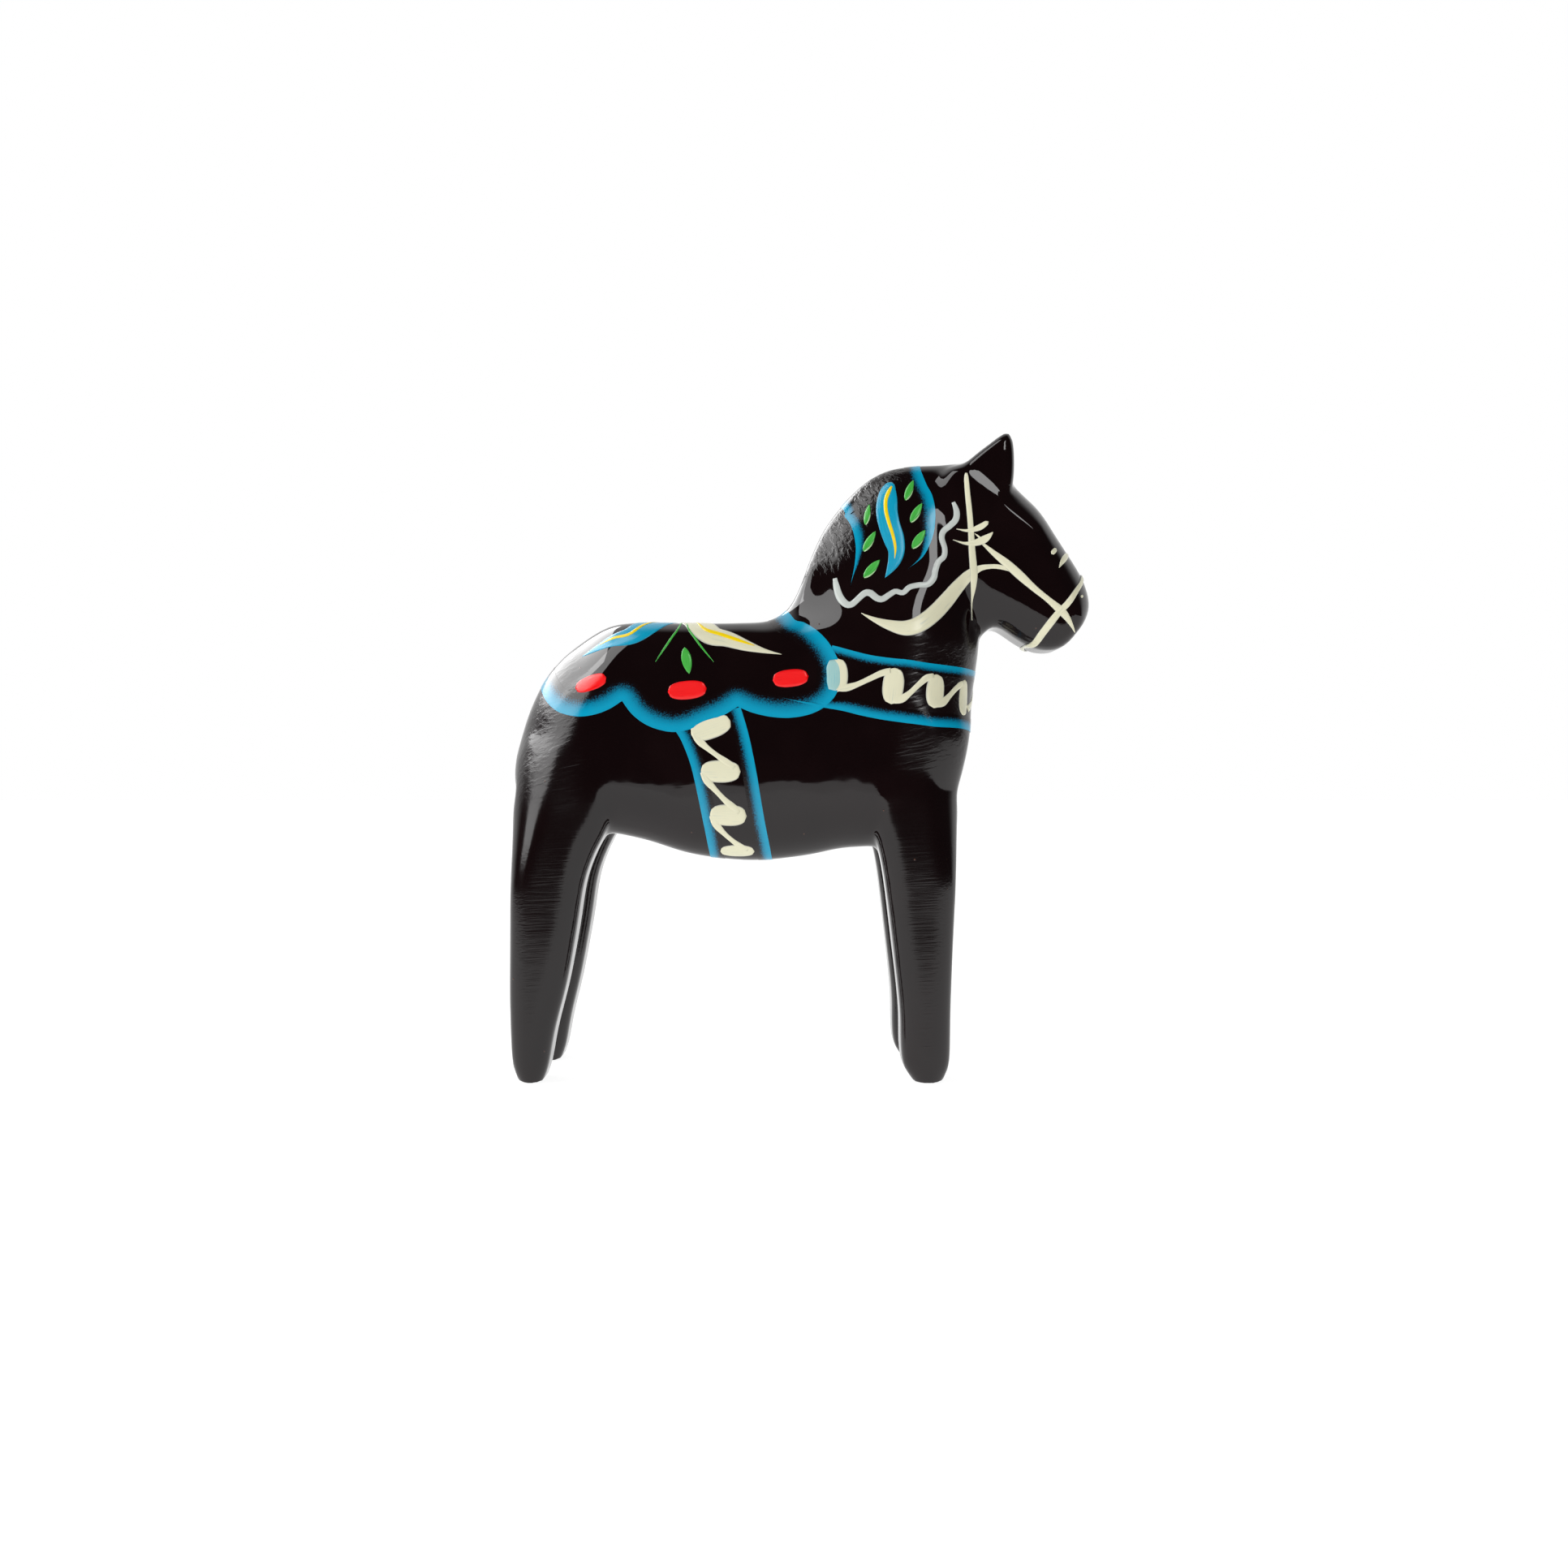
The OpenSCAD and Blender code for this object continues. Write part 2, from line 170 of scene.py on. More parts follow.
headOutline = [
    (15.5, 65.6), (17.5, 66.5), (19.5, 66.9), (21.4, 66.3), (22.6, 65.2), (23.4, 64.3), (24.6, 63.1), (25.9, 61.8),
    (27.2, 59.8), (28.8, 57.4), (30.1, 55.5), (31, 53.9), (31.5, 52.2), (31.5, 50.8), (30.9, 49.4), (30, 48.2),
    (29, 47), (27.8, 46.3), (26.2, 46.25), (24.6, 46.75), (23, 47.75), (21.6, 48.7), (20.6, 48.9), (19.9, 48.2),
    (18.6, 48.4), (17, 52), (15.5, 57), (14.6, 62),
]
earOutline = [
    (16.8, 65.6), (18, 66.9), (19.3, 68), (20.6, 69), (21.7, 69.9), (22.3, 70.35), (22.7, 69.9), (22.95, 68.4),
    (23.0, 66.4), (22.85, 64.4), (22.4, 62.9), (21.4, 61.9), (19.2, 62.4), (17.6, 64),
]
hindLegOutline = [
    (-30.3, 37.6), (-31.1, 34.2), (-31.25, 30), (-31.2, 25), (-31.3, 18), (-31.25, 10), (-31.1, 4.5), (-30.85, 1.8),
    (-30.3, 0.4), (-29.6, -0.7), (-28.2, -0.7), (-27.6, 0.4), (-27.1, 1.8), (-26.4, 5.5), (-25.2, 10.5),
    (-24.2, 16), (-23.4, 21), (-22.3, 24.2), (-21, 26.8), (-20, 30), (-19.4, 34), (-20.4, 38), (-25, 40.5),
]
frontLegOutline = [
    (17.2, 36), (17, 33.4), (16.7, 30.8), (16.4, 27), (16.15, 21), (15.85, 15), (15.6, 9), (15.5, 3.5),
    (15.3, 1.6), (14.7, 0.3), (13.9, -0.7), (12.3, -0.7), (11.3, 0.5), (10.45, 1.8), (10.2, 4), (10.1, 8),
    (9.4, 14.5), (8.6, 21), (8, 24.4), (7.2, 27.4), (6.9, 31), (8, 35), (11, 38), (15, 38.4),
]


def blurred(values, passes, axes):
    for _ in range(passes):
        for axis in axes:
            before = np.concatenate([values.take([0], axis), values.take(range(values.shape[axis] - 1), axis)], axis)
            after = np.concatenate([values.take(range(1, values.shape[axis]), axis), values.take([-1], axis)], axis)
            values = (before + 2 * values + after) / 4
    return values


def outlineDistance(outline, xs, zs):
    # how far each point of the side view is from an outline, negative inside it
    px, pz = np.meshgrid(xs, zs, indexing="ij")
    edge = smoothLine(outline, 4, closed=True)
    best = np.full(px.shape, 1e9)
    inside = np.zeros(px.shape, bool)
    for (ax, az), (bx, bz) in zip(edge, np.roll(edge, -1, axis=0)):
        dx, dz = bx - ax, bz - az
        t = np.clip(((px - ax) * dx + (pz - az) * dz) / (dx * dx + dz * dz + 1e-12), 0, 1)
        best = np.minimum(best, np.hypot(px - ax - t * dx, pz - az - t * dz))
        if bz != az:
            inside ^= ((az > pz) != (bz > pz)) & (px < ax + (pz - az) / dz * dx)
    return blurred(np.where(inside, -best, best), 1, (0, 1))[:, None, :]


def carved(flat, lateral, half, edge, side, power):
    # a board cut to an outline, whose corners are taken off over edge in the side view and side across it
    u = np.maximum(flat + edge, 0) / edge
    v = np.maximum(lateral - half + side, 0) / side
    return ((u ** power + v ** power) ** (1 / power) - 1) * np.minimum(edge, side)


def joined(a, b, soft):
    near = np.maximum(soft - np.abs(a - b), 0) / soft
    return np.minimum(a, b) - near * near * soft / 4


def leftOf(x, z, a, b):
    # how far a point of the side view lies to the left of the line from a to b
    length = math.hypot(b[0] - a[0], b[1] - a[1])
    return ((b[0] - a[0]) * (z - a[1]) - (b[1] - a[1]) * (x - a[0])) / length


def carveHorse():
    c = carving
    low = np.array([-drawing["length"] / 2, -drawing["width"] / 2, 0]) - c["margin"]
    high = np.array([drawing["length"] / 2, drawing["width"] / 2, drawing["height"]]) + c["margin"]
    counts = np.ceil((high - low) / c["cell"]).astype(int) + 1
    xs, ys, zs = [low[i] + np.arange(counts[i]) * c["cell"] for i in range(3)]
    x, y, z = xs[:, None, None], ys[None, :, None], zs[None, None, :]
    across = np.abs(y)

    # neck and trunk in one: full width to the shoulder, then drawn in up the neck
    neckward = ramp(x, -7, 3)
    taper = np.interp(zs, *zip(*c["neckTaper"]))[None, None, :]
    crown = np.minimum((z - c["fullestHeight"]) ** 2 / (2 * c["trunkCrown"]), c["crownMost"])
    crown = crown * (1 - c["crownNeck"] * neckward * ramp(z, 44, 50))
    half = c["trunkHalf"] - blurred(taper, 4, (2,)) * neckward - crown - c["rumpNarrowing"] * ramp(-x, 20, 30)
    rounding = np.maximum(ramp(-x, 17, 25) * ramp(z, 30, 38), neckward * ramp(z, 36, 42))
    edge = c["edgeCut"] + c["edgeRounding"] * rounding - c["edgeNeck"] * ramp(z, 50, 56)
    side = c["sideCut"] + c["sideRounding"] * rounding - c["sideNeck"] * ramp(z, 49, 56)
    power = c["cutPower"] + 0.3 * ramp(z, 31, 41) - 0.3 * ramp(z, 47, 54)
    trunk = carved(outlineDistance(trunkOutline, xs, zs), across, half, edge, side, power)

    # head: flat cheeks that fall away in front of the brow and under the jaw
    front = np.maximum(*[leftOf(x, z, *c["browRidge"][i:i + 2]) for i in (0, 1)])
    under = -leftOf(x, z, *c["jawRidge"])
    headHalf = c["muzzleHalf"] + (c["headHalf"] - c["muzzleHalf"]) * ramp(z, 47, 62)
    headHalf = headHalf - c["browFall"] * np.maximum(front, 0) - c["jawFall"] * np.maximum(under, 0)
    head = carved(outlineDistance(headOutline, xs, zs), across, headHalf, *c["headCut"])
    horse = joined(trunk, head, c["headFillet"])

    # ears: two leaves set apart by a knife-cut notch
    earMiddle = c["earMiddle"] + c["earSpread"] * ramp(z, 65, 70)
    earHalf = c["earHalf"] - c["earThinning"] * ramp(z, 64.5, 71)
    ear = carved(outlineDistance(earOutline, xs, zs), np.abs(across - earMiddle), earHalf, *c["earCut"])
    horse = joined(horse, ear, c["earFillet"])

    # legs: sawn flat inside and out, their edges whittled off
    inner = c["legInnerFoot"] + (c["legInnerTop"] - c["legInnerFoot"]) * np.clip(z / c["legHeight"], 0, 1)
    outer = c["legOuterFoot"] - c["legSplay"] * z - c["legSunk"] * ramp(z, 30, 41)
    legSide = np.abs(across - (inner + outer) / 2)
    for outline, outerEnd in ((hindLegOutline, ramp(-x, 23, 28)), (frontLegOutline, ramp(x, 11, 15))):
        softer = ramp(z, 20, 38) * outerEnd
        cut = [foot + top * softer for foot, top in zip(c["legCut"], c["legCutTop"])]
        leg = carved(outlineDistance(outline, xs, zs), legSide, (outer - inner) / 2, *cut)
        horse = joined(horse, leg, c["legFillet"])

    random = np.random.default_rng(c["seed"])
    for _ in range(c["waves"]):
        way = random.normal(size=3)
        way *= 2 * math.pi / random.uniform(*c["waveLength"]) / np.linalg.norm(way)
        horse = horse + c["handWaviness"] * np.cos(way[0] * x + way[1] * y + way[2] * z + random.uniform(0, 6))
    horse = blurred(horse, 1, (0, 1, 2))
    return low, horse


fieldLow, rawField = carveHorse()
cellSize = carving["cell"]
floorHeight = (fieldLow[2] + np.arange(rawField.shape[2]) * cellSize)[None, None, :]
cutField = np.maximum(rawField, -floorHeight)  # sawn level under the feet
rawSlope = np.stack(np.gradient(rawField, cellSize))
cutSlope = np.stack(np.gradient(cutField, cellSize))
print("carving field", rawField.shape)


def sampled(grid, points):
    # a value read between grid points, for one grid or a stack of three
    place = (points - fieldLow) / cellSize
    base = np.clip(np.floor(place).astype(int), 0, np.array(grid.shape[-3:]) - 2)
    share = np.clip(place - base, 0, 1)
    total = 0
    for corner in np.ndindex(2, 2, 2):
        weight = np.prod(np.where(corner, share, 1 - share), axis=1)
        i, j, k = (base + corner).T
        total = total + weight * grid[..., i, j, k]
    return total


def outward(points, slope=rawSlope):
    return unit(sampled(slope, points).T)


def landed(points, field=rawField, slope=rawSlope, rounds=5):
    # points moved the short way to the carved surface
    points = points.copy()
    for _ in range(rounds):
        n = sampled(slope, points).T
        push = sampled(field, points) / np.maximum((n * n).sum(axis=1), 0.05)
        points -= n * np.clip(push, -0.8, 0.8)[:, None]
    return points


def seenFrom(side, xz):
    # where a line straight across the horse first meets it, coming from one side
    depths = np.arange(drawing["width"] / 2 + 1, -0.01, -0.2)
    points = np.array([[[x, side * d, z] for d in depths] for x, z in xz])
    values = sampled(rawField, points.reshape(-1, 3)).reshape(len(xz), len(depths))
    hit = values < 0
    first = np.where(hit.any(axis=1), hit.argmax(axis=1), len(depths) - 1)
    before = np.maximum(first - 1, 0)
    rows = np.arange(len(xz))
    a, b = values[rows, before], values[rows, first]
    t = np.where(np.abs(a - b) > 1e-6, a / np.where(np.abs(a - b) > 1e-6, a - b, 1), 1).clip(0, 1)
    depth = depths[before] + (depths[first] - depths[before]) * t
    return np.column_stack([xz[:, 0], side * depth, xz[:, 1]])


def surfaceMesh(field, slope):
    # one point in every grid cell that the surface crosses, joined across the grid's edges
    inside = field < 0
    corners = list(np.ndindex(2, 2, 2))
    nx, ny, nz = field.shape
    crossing = sum(inside[a:nx - 1 + a, b:ny - 1 + b, c:nz - 1 + c].astype(int) for a, b, c in corners)
    cells = np.argwhere((crossing > 0) & (crossing < 8))
    number = np.full((nx, ny, nz), -1)
    number[tuple(cells.T)] = np.arange(len(cells))
    total, hits = np.zeros((len(cells), 3)), np.zeros(len(cells))
    for a in corners:
        for axis in range(3):
            if a[axis]:
                continue
            b = np.array(a)
            b[axis] = 1
            va, vb = field[tuple((cells + a).T)], field[tuple((cells + b).T)]
            cut = (va < 0) != (vb < 0)
            t = np.where(cut, va / np.where(cut, va - vb, 1), 0)
            total += cut[:, None] * (np.array(a) + t[:, None] * (b - np.array(a)))
            hits += cut
    points = fieldLow + (cells + total / hits[:, None]) * cellSize
    quads = []
    for axis in range(3):
        step = np.zeros(3, int)
        step[axis] = 1
        u, v = np.roll(step, 1), np.roll(step, 2)
        first = inside[:nx - step[0], :ny - step[1], :nz - step[2]]
        second = inside[step[0]:, step[1]:, step[2]:]
        for flip in (False, True):
            at = np.argwhere(second & ~first if flip else first & ~second)
            loop = [at - u - v, at - v, at, at - u]
            quad = np.column_stack([number[tuple(q.T)] for q in loop])
            quads.append(quad[:, ::-1] if flip else quad)
    points = landed(points, field, slope, 3)
    points[:, 2] = np.maximum(points[:, 2], 0)
    return points, np.vstack(quads)


def makeObject(name, points, faces, materials, faceMaterial=None, uv=None, normals=None, rim=None):
    mesh = bpy.data.meshes.new(name)
    points = toFrame(np.asarray(points))
    faces = np.asarray(faces)
    mesh.vertices.add(len(points))
    mesh.vertices.foreach_set("co", points.astype(np.float32).ravel())
    mesh.loops.add(faces.size)
    mesh.loops.foreach_set("vertex_index", faces.astype(np.int32).ravel())
    mesh.polygons.add(len(faces))
    mesh.polygons.foreach_set("loop_start", (np.arange(len(faces)) * faces.shape[1]).astype(np.int32))
    mesh.polygons.foreach_set("loop_total", np.full(len(faces), faces.shape[1], np.int32))
    mesh.polygons.foreach_set("use_smooth", np.ones(len(faces), bool))
    for material in materials:
        mesh.materials.append(material)
    if faceMaterial is not None:
        mesh.polygons.foreach_set("material_index", np.asarray(faceMaterial, np.int32))
    if uv is not None:
        layer = mesh.uv_layers.new(name="stroke")
        layer.data.foreach_set("uv", np.asarray(uv, np.float32)[faces.ravel()].ravel())
    if rim is not None:
        mesh.attributes.new("rim", "FLOAT", "POINT").data.foreach_set("value", np.asarray(rim, np.float32))
    mesh.update(calc_edges=True)
    mesh.validate()
    if normals is not None:
        mesh.normals_split_custom_set_from_vertices(normals)
    piece = bpy.data.objects.new(name, mesh)
    bpy.context.collection.objects.link(piece)
    return piece


def handOver(piece, node):
    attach(piece, "root")
    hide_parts(node)


# ---- materials

def feed(tree, node, inputs):
    # an input is given a value, or a socket to link from
    for key, value in inputs.items():
        if isinstance(value, bpy.types.NodeSocket):
            tree.links.new(value, node.inputs[key])
        else:
            node.inputs[key].default_value = value


def addNode(tree, kind, settings=None, inputs=None):
    node = tree.nodes.new("ShaderNode" + kind)
    for key, value in (settings or {}).items():
        setattr(node, key, value)
    feed(tree, node, inputs or {})
    return node


def newMaterial(name):
    material = bpy.data.materials.new(name)
    material.use_nodes = True
    tree = material.node_tree
    tree.nodes.clear()
    shader = addNode(tree, "BsdfPrincipled")
    addNode(tree, "OutputMaterial", None, {"Surface": shader.outputs[0]})
    return material, tree, shader


perMm = 1000.0  # object coordinates are metres, so a scale of 1000 is one cycle a millimetre


def objectPlace(tree):
    return addNode(tree, "TexCoord").outputs["Object"]


def apart(tree, vector):
    return addNode(tree, "SeparateXYZ", None, {0: vector}).outputs


def noise(tree, vector, scale, detail):
    return addNode(tree, "TexNoise", None, {"Vector": vector, "Scale": scale, "Detail": detail}).outputs[0]


def mapped(tree, vector, key, value):
    return addNode(tree, "Mapping", None, {"Vector": vector, key: value}).outputs[0]


def stripes(tree, coordinates, degrees, alongMm, acrossMm, detail=2.0):
    # noise drawn out along one direction of the side view, as a brush or abrasive leaves it
    turned = mapped(tree, coordinates, "Rotation", (0, math.radians(degrees), 0))
    drawn = mapped(tree, turned, "Scale", (perMm / alongMm, perMm / acrossMm, perMm / acrossMm))
    return noise(tree, drawn, 1.0, detail)


def easing(tree, value, fromMin, fromMax, toMin=0.0, toMax=1.0):
    return addNode(tree, "MapRange", {"interpolation_type": "SMOOTHSTEP"}, {
        "Value": value, "From Min": fromMin, "From Max": fromMax, "To Min": toMin, "To Max": toMax}).outputs[0]


def maths(tree, operation, *values):
    return addNode(tree, "Math", {"operation": operation}, dict(enumerate(values))).outputs[0]


def times(tree, a, b):
    return maths(tree, "MULTIPLY", a, b)


def plus(tree, first, *others):
    total = first
    for other in others:
        total = maths(tree, "ADD", total, other)
    return total


def blend(tree, share, first, second):
    # from the first colour to the second; a colour is hex or a socket
    first, second = [linear(c) if isinstance(c, str) else c for c in (first, second)]
    return addNode(tree, "Mix", {"data_type": "RGBA"}, {0: share, 6: first, 7: second}).outputs[2]


def surface(tree, shader, colour, roughness, height, reliefMm):
    # the colour, the gloss, and a relief too fine to model
    bump = addNode(tree, "Bump", None, {"Strength": 1.0, "Distance": reliefMm / perMm, "Height": height})
    feed(tree, shader, {"Base Color": colour, "Roughness": roughness, "Normal": bump.outputs[0]})


varnishIor = 1.5  # of one clear skin of drying-oil varnish


def varnished(tree, shader, *finish):
    surface(tree, shader, *finish)
    feed(tree, shader, {"IOR": varnishIor})


lacquer = {
    "black": "#0e0405",  # a warm near-black, as lamp black in oil dries
    "bloom": "#130708",  # where the coat is a little thin
    "fleck": "#6a4a3c",  # dust and primer showing through
    "bloomMm": 9,  # size of the thin patches
    "fleckMm": 1.7,  # about how far apart flecks could fall
    "bodyGloss": 0.035,  # roughness where the varnish flowed out level
    "legGloss": 0.13,  # and on the legs, where it was brushed thin
    "sandedGloss": 0.2,  # and on the rump, chest and crest, where the sanding shows
    "sandingMm": 0.5,  # between the sanding lines
    "brushMm": 0.22,  # between the lines that the coat's brush left
    "dipMm": 2.4,  # between the soft dips in the coat
    "reliefMm": 0.02,
    "crestDepth": 1.5,  # how strongly each shows in the relief
    "legDepth": 0.32,
    "rumpDepth": 0.6,
    "dipDepth": 0.5,
    "fleckDepth": 0.5,
}
# Where each finish starts and where it is full: mm above the soles, or mm along the horse from its middle.
finishAreas = {
    "crestHeight": (53, 57),
    "crestAlong": (-27, -32),  # behind a line that leans forward with height
    "legHeight": (36, 27),
    "legLinesHeight": (33, 22),
    "hindLegAlong": (-20, -21.5),
    "frontLegAlong": (8, 9.5),
    "rumpAlong": (-22, -26),
    "rumpHeight": (27, 33),
    "chestAlong": (8, 12),
    "chestHeight": (31, 35),
    "chestTop": (50, 46),
}
crestLean = -0.62


def blackLacquer():
    # oil lacquer, dipped and varnished: a deep wet black with a mirror gloss, faint brush and sanding lines
    material, tree, shader = newMaterial("glossBlackOilLacquer")
    coordinates = objectPlace(tree)
    along, _, height = apart(tree, coordinates)
    thin = easing(tree, noise(tree, coordinates, perMm / lacquer["bloomMm"], 3.0), 0.4, 0.7)
    dust = addNode(tree, "TexVoronoi", None, {"Vector": coordinates, "Scale": perMm / lacquer["fleckMm"]})
    rare = addNode(tree, "SeparateColor", None, {0: dust.outputs["Color"]}).outputs[0]
    fleck = times(tree, easing(tree, dust.outputs["Distance"], 0.075, 0.03), easing(tree, rare, 0.80, 0.84))
    colour = blend(tree, times(tree, fleck, 0.55), blend(tree, thin, lacquer["black"], lacquer["bloom"]),
                   lacquer["fleck"])

    def area(value, name):
        start, full = finishAreas[name]
        return easing(tree, value, start / perMm, full / perMm)

    # sanding lines slant down the crest of the neck, and the coat's brush ran round the legs and rump
    facing = apart(tree, addNode(tree, "NewGeometry").outputs["Normal"])[1]
    flank = easing(tree, maths(tree, "ABSOLUTE", facing), 0.3, 0.6)
    leaning = plus(tree, along, times(tree, height, crestLean))
    crest = times(tree, area(height, "crestHeight"), area(leaning, "crestAlong"))
    legs = times(tree, area(height, "legHeight"), plus(
        tree, area(along, "hindLegAlong"), area(along, "frontLegAlong")))
    rump = times(tree, area(along, "rumpAlong"), area(height, "rumpHeight"))
    chest = times(tree, area(along, "chestAlong"), times(
        tree, area(height, "chestHeight"), area(height, "chestTop")))
    sanded = plus(tree, rump, crest, chest)
    roughness = plus(tree, times(tree, legs, lacquer["legGloss"] - lacquer["bodyGloss"]), times(
        tree, sanded, lacquer["sandedGloss"] - lacquer["bodyGloss"]), lacquer["bodyGloss"])

    slanting = stripes(tree, coordinates, -58, 5.0, lacquer["sandingMm"], 4.0)
    crestLines = times(tree, easing(tree, slanting, 0.42, 0.62), times(tree, crest, flank))
    flatter = stripes(tree, coordinates, 12, 4.0, lacquer["sandingMm"], 4.0)
    rumpLines = times(tree, easing(tree, flatter, 0.4, 0.65), times(tree, plus(tree, rump, chest), flank))
    legLines = times(tree, stripes(tree, coordinates, 3, 5.0, lacquer["brushMm"]), area(height, "legLinesHeight"))
    dips = noise(tree, coordinates, perMm / lacquer["dipMm"], 1.0)
    relief = plus(tree, times(tree, dips, lacquer["dipDepth"]), times(tree, fleck, lacquer["fleckDepth"]),
                  times(tree, rumpLines, lacquer["rumpDepth"]), times(tree, legLines, lacquer["legDepth"]),
                  times(tree, crestLines, lacquer["crestDepth"]))
    varnished(tree, shader, colour, roughness, relief, lacquer["reliefMm"])
    return material


brushed = {
    "streakAlong": 5.0,  # mm
    "streakAcross": 0.16,  # mm between bristle lines
    "cloudMm": 1.6,  # size of the patches where they show
    "unevenness": 0.75,
    "rimStrength": 0.8,
    "roughness": 0.22,
    "reliefMm": 0.012,
}


def brushedPaint(name, colour, shade, thin=0.0, rimShade="#a9aba6"):
    # oil paint laid with a soft brush, varnished: opaque, with faint bristle lines and a thinner, greyer rim
    material, tree, shader = newMaterial(name)
    uv = addNode(tree, "UVMap", {"uv_map": "stroke"}).outputs[0]
    spread = mapped(tree, uv, "Scale", (1 / brushed["streakAlong"], 1 / brushed["streakAcross"], 1))
    streak = noise(tree, spread, 1.0, 3.0)
    cloud = noise(tree, objectPlace(tree), perMm / brushed["cloudMm"], 2.0)
    uneven = times(tree, easing(tree, streak, 0.5, 0.74), easing(tree, cloud, 0.42, 0.62))
    tone = blend(tree, plus(tree, times(tree, uneven, brushed["unevenness"]), thin), colour, shade)
    rim = addNode(tree, "Attribute", {"attribute_name": "rim"}).outputs["Fac"]
    edged = blend(tree, easing(tree, rim, 0.84, 1.0, 0.0, brushed["rimStrength"]), tone, rimShade)
    varnished(tree, shader, edged, brushed["roughness"], streak, brushed["reliefMm"])
    return material


sprayed = {
    "solid": 0.22,  # share of a band's width that is fully covered
    "grainMm": 0.13,  # size of the spray's droplets
    "scatter": 0.95,  # how unevenly they fall
    "driftMm": 3.0,  # size of the spray's thicker and thinner stretches
    "drift": 0.12,  # and how far they move its edge, as a share of the width
    "roughness": 0.12,
    "reliefMm": 0.008,
}


def sprayedPaint(name, colour, deep):
    # paint blown on against a stencil: one hard edge, the other breaking up into droplets over the black
    material, tree, shader = newMaterial(name)
    uv = addNode(tree, "UVMap", {"uv_map": "stroke"}).outputs[0]
    share = apart(tree, uv)[1]
    coordinates = objectPlace(tree)
    grain = noise(tree, coordinates, perMm / sprayed["grainMm"], 1.0)
    drift = noise(tree, coordinates, perMm / sprayed["driftMm"], 1.0)
    moved = plus(tree, share, times(tree, plus(tree, drift, -0.5), sprayed["drift"]))
    cover = easing(tree, moved, sprayed["solid"], 1.0, 1.0, 0.0)
    droplets = plus(tree, cover, times(tree, plus(tree, grain, -0.5), sprayed["scatter"]))
    covered = times(tree, easing(tree, droplets, 0.12, 0.88), easing(tree, share, 0.7, 1.0, 1.0, 0.0))
    tone = blend(tree, easing(tree, share, 0.1, 0.7), colour, deep)
    mixed = blend(tree, covered, lacquer["black"], tone)
    varnished(tree, shader, mixed, sprayed["roughness"], grain, sprayed["reliefMm"])
    return material


pineSoles = {"early": "#d9b37c", "late": "#a8743f", "ringMm": 1.1, "roughness": 0.65, "reliefMm": 0.03}


def barePine():
    # sawn pine, bared by standing: pale yellow-brown with darker growth lines, matt
    material, tree, shader = newMaterial("barePine")
    rings = addNode(tree, "TexWave", None, {
        "Vector": objectPlace(tree), "Scale": perMm / pineSoles["ringMm"] / 6.3,
        "Distortion": 1.5, "Detail": 2.0}).outputs[1]
    tone = blend(tree, easing(tree, rings, 0.45, 0.9), pineSoles["early"], pineSoles["late"])
    surface(tree, shader, tone, pineSoles["roughness"], rings, pineSoles["reliefMm"])
    return material


black = blackLacquer()
pine = barePine()
cream = brushedPaint("creamOilPaint", "#ece9ca", "#c9d0c0")
creamUnderSpray = brushedPaint("creamUnderTurquoiseMist", "#a9d3cf", "#6dbccb", 0.1, "#3fa9c2")
grey = brushedPaint("greyWhiteOilPaint", "#ccd2cd", "#b4bbb8", 0.1, "#9aa19f")
blue = brushedPaint("turquoiseOilPaint", "#02a2c8", "#36b4d0", 0.0, "#0391b4")
green = brushedPaint("leafGreenOilPaint", "#49b946", "#2f8f36", 0.1, "#3ea23e")
# painted highlight: a pale green that stands for the light caught on the raised edge of each leaf's paint
leafHighlight = brushedPaint("paintedLeafHighlight", "#b7dfa4", "#d9e6c4", 0.0, "#8fc98a")
yellow = brushedPaint("yellowOilPaint", "#ffde02", "#f4c800", 0.0, "#f0cc10")
red = brushedPaint("redOilPaint", "#ff0208", "#d40208", 0.0, "#ee0610")
blueSpray = sprayedPaint("turquoiseSprayPaint", "#02a0c6", "#03789c")


# ---- the horse: a pine core inside a thin black coat that stops at the soles

coating = {
    "thickness": 0.2,
    "feather": 0.6,  # round the rim of a sole the coat thins away over this much
    "soleHeight": 0.02, # what lies lower than this is part of a sole
    "lift": 0.03,  # the core's walls start this far above the floor
    "gap": 0.01,  # left between the coat and the core
}


def buildHorse():
    points, quads = surfaceMesh(cutField, cutSlope)
    onFloor = points[:, 2] < coating["soleHeight"]
    sole = onFloor[quads].all(axis=1)
    normals = outward(points)
    share = np.clip(1 + sampled(rawField, points) / coating["feather"], 0, 1)
    depth = coating["thickness"] * np.where(onFloor, share, 1)
    inward = np.where(onFloor[:, None], unit(normals * [1, 1, 0]), normals)
    within = points - inward * depth[:, None]
    within[:, 2] = np.where(onFloor, 0, np.maximum(within[:, 2], coating["lift"]))

    walls = quads[~sole]
    edges = np.vstack([walls[:, [i, (i + 1) % 4]] for i in range(4)])
    known = set(map(tuple, edges.tolist()))
    rim = np.array([e for e in edges.tolist() if (e[1], e[0]) not in known])
    count = len(points)
    coatFaces = np.vstack([
        walls, walls[:, ::-1] + count,
        np.column_stack([rim[:, 1], rim[:, 0], rim[:, 0] + count, rim[:, 1] + count]),
    ])
    used, renumbered = np.unique(coatFaces, return_inverse=True)
    coatPoints = np.vstack([points, within])[used]
    coatNormals = np.vstack([normals, -normals])[used]
    coat = makeObject("blackCoat", coatPoints, renumbered.reshape(coatFaces.shape), [black], normals=coatNormals)
    handOver(coat, "black_coat")

    core = makeObject("pineCore", within - inward * coating["gap"] * (~onFloor)[:, None], quads, [pine])
    handOver(core, "wood_core")
    print("horse", len(points), "points", len(quads), "faces")


buildHorse()


# ---- paint marks, laid on the carved surface

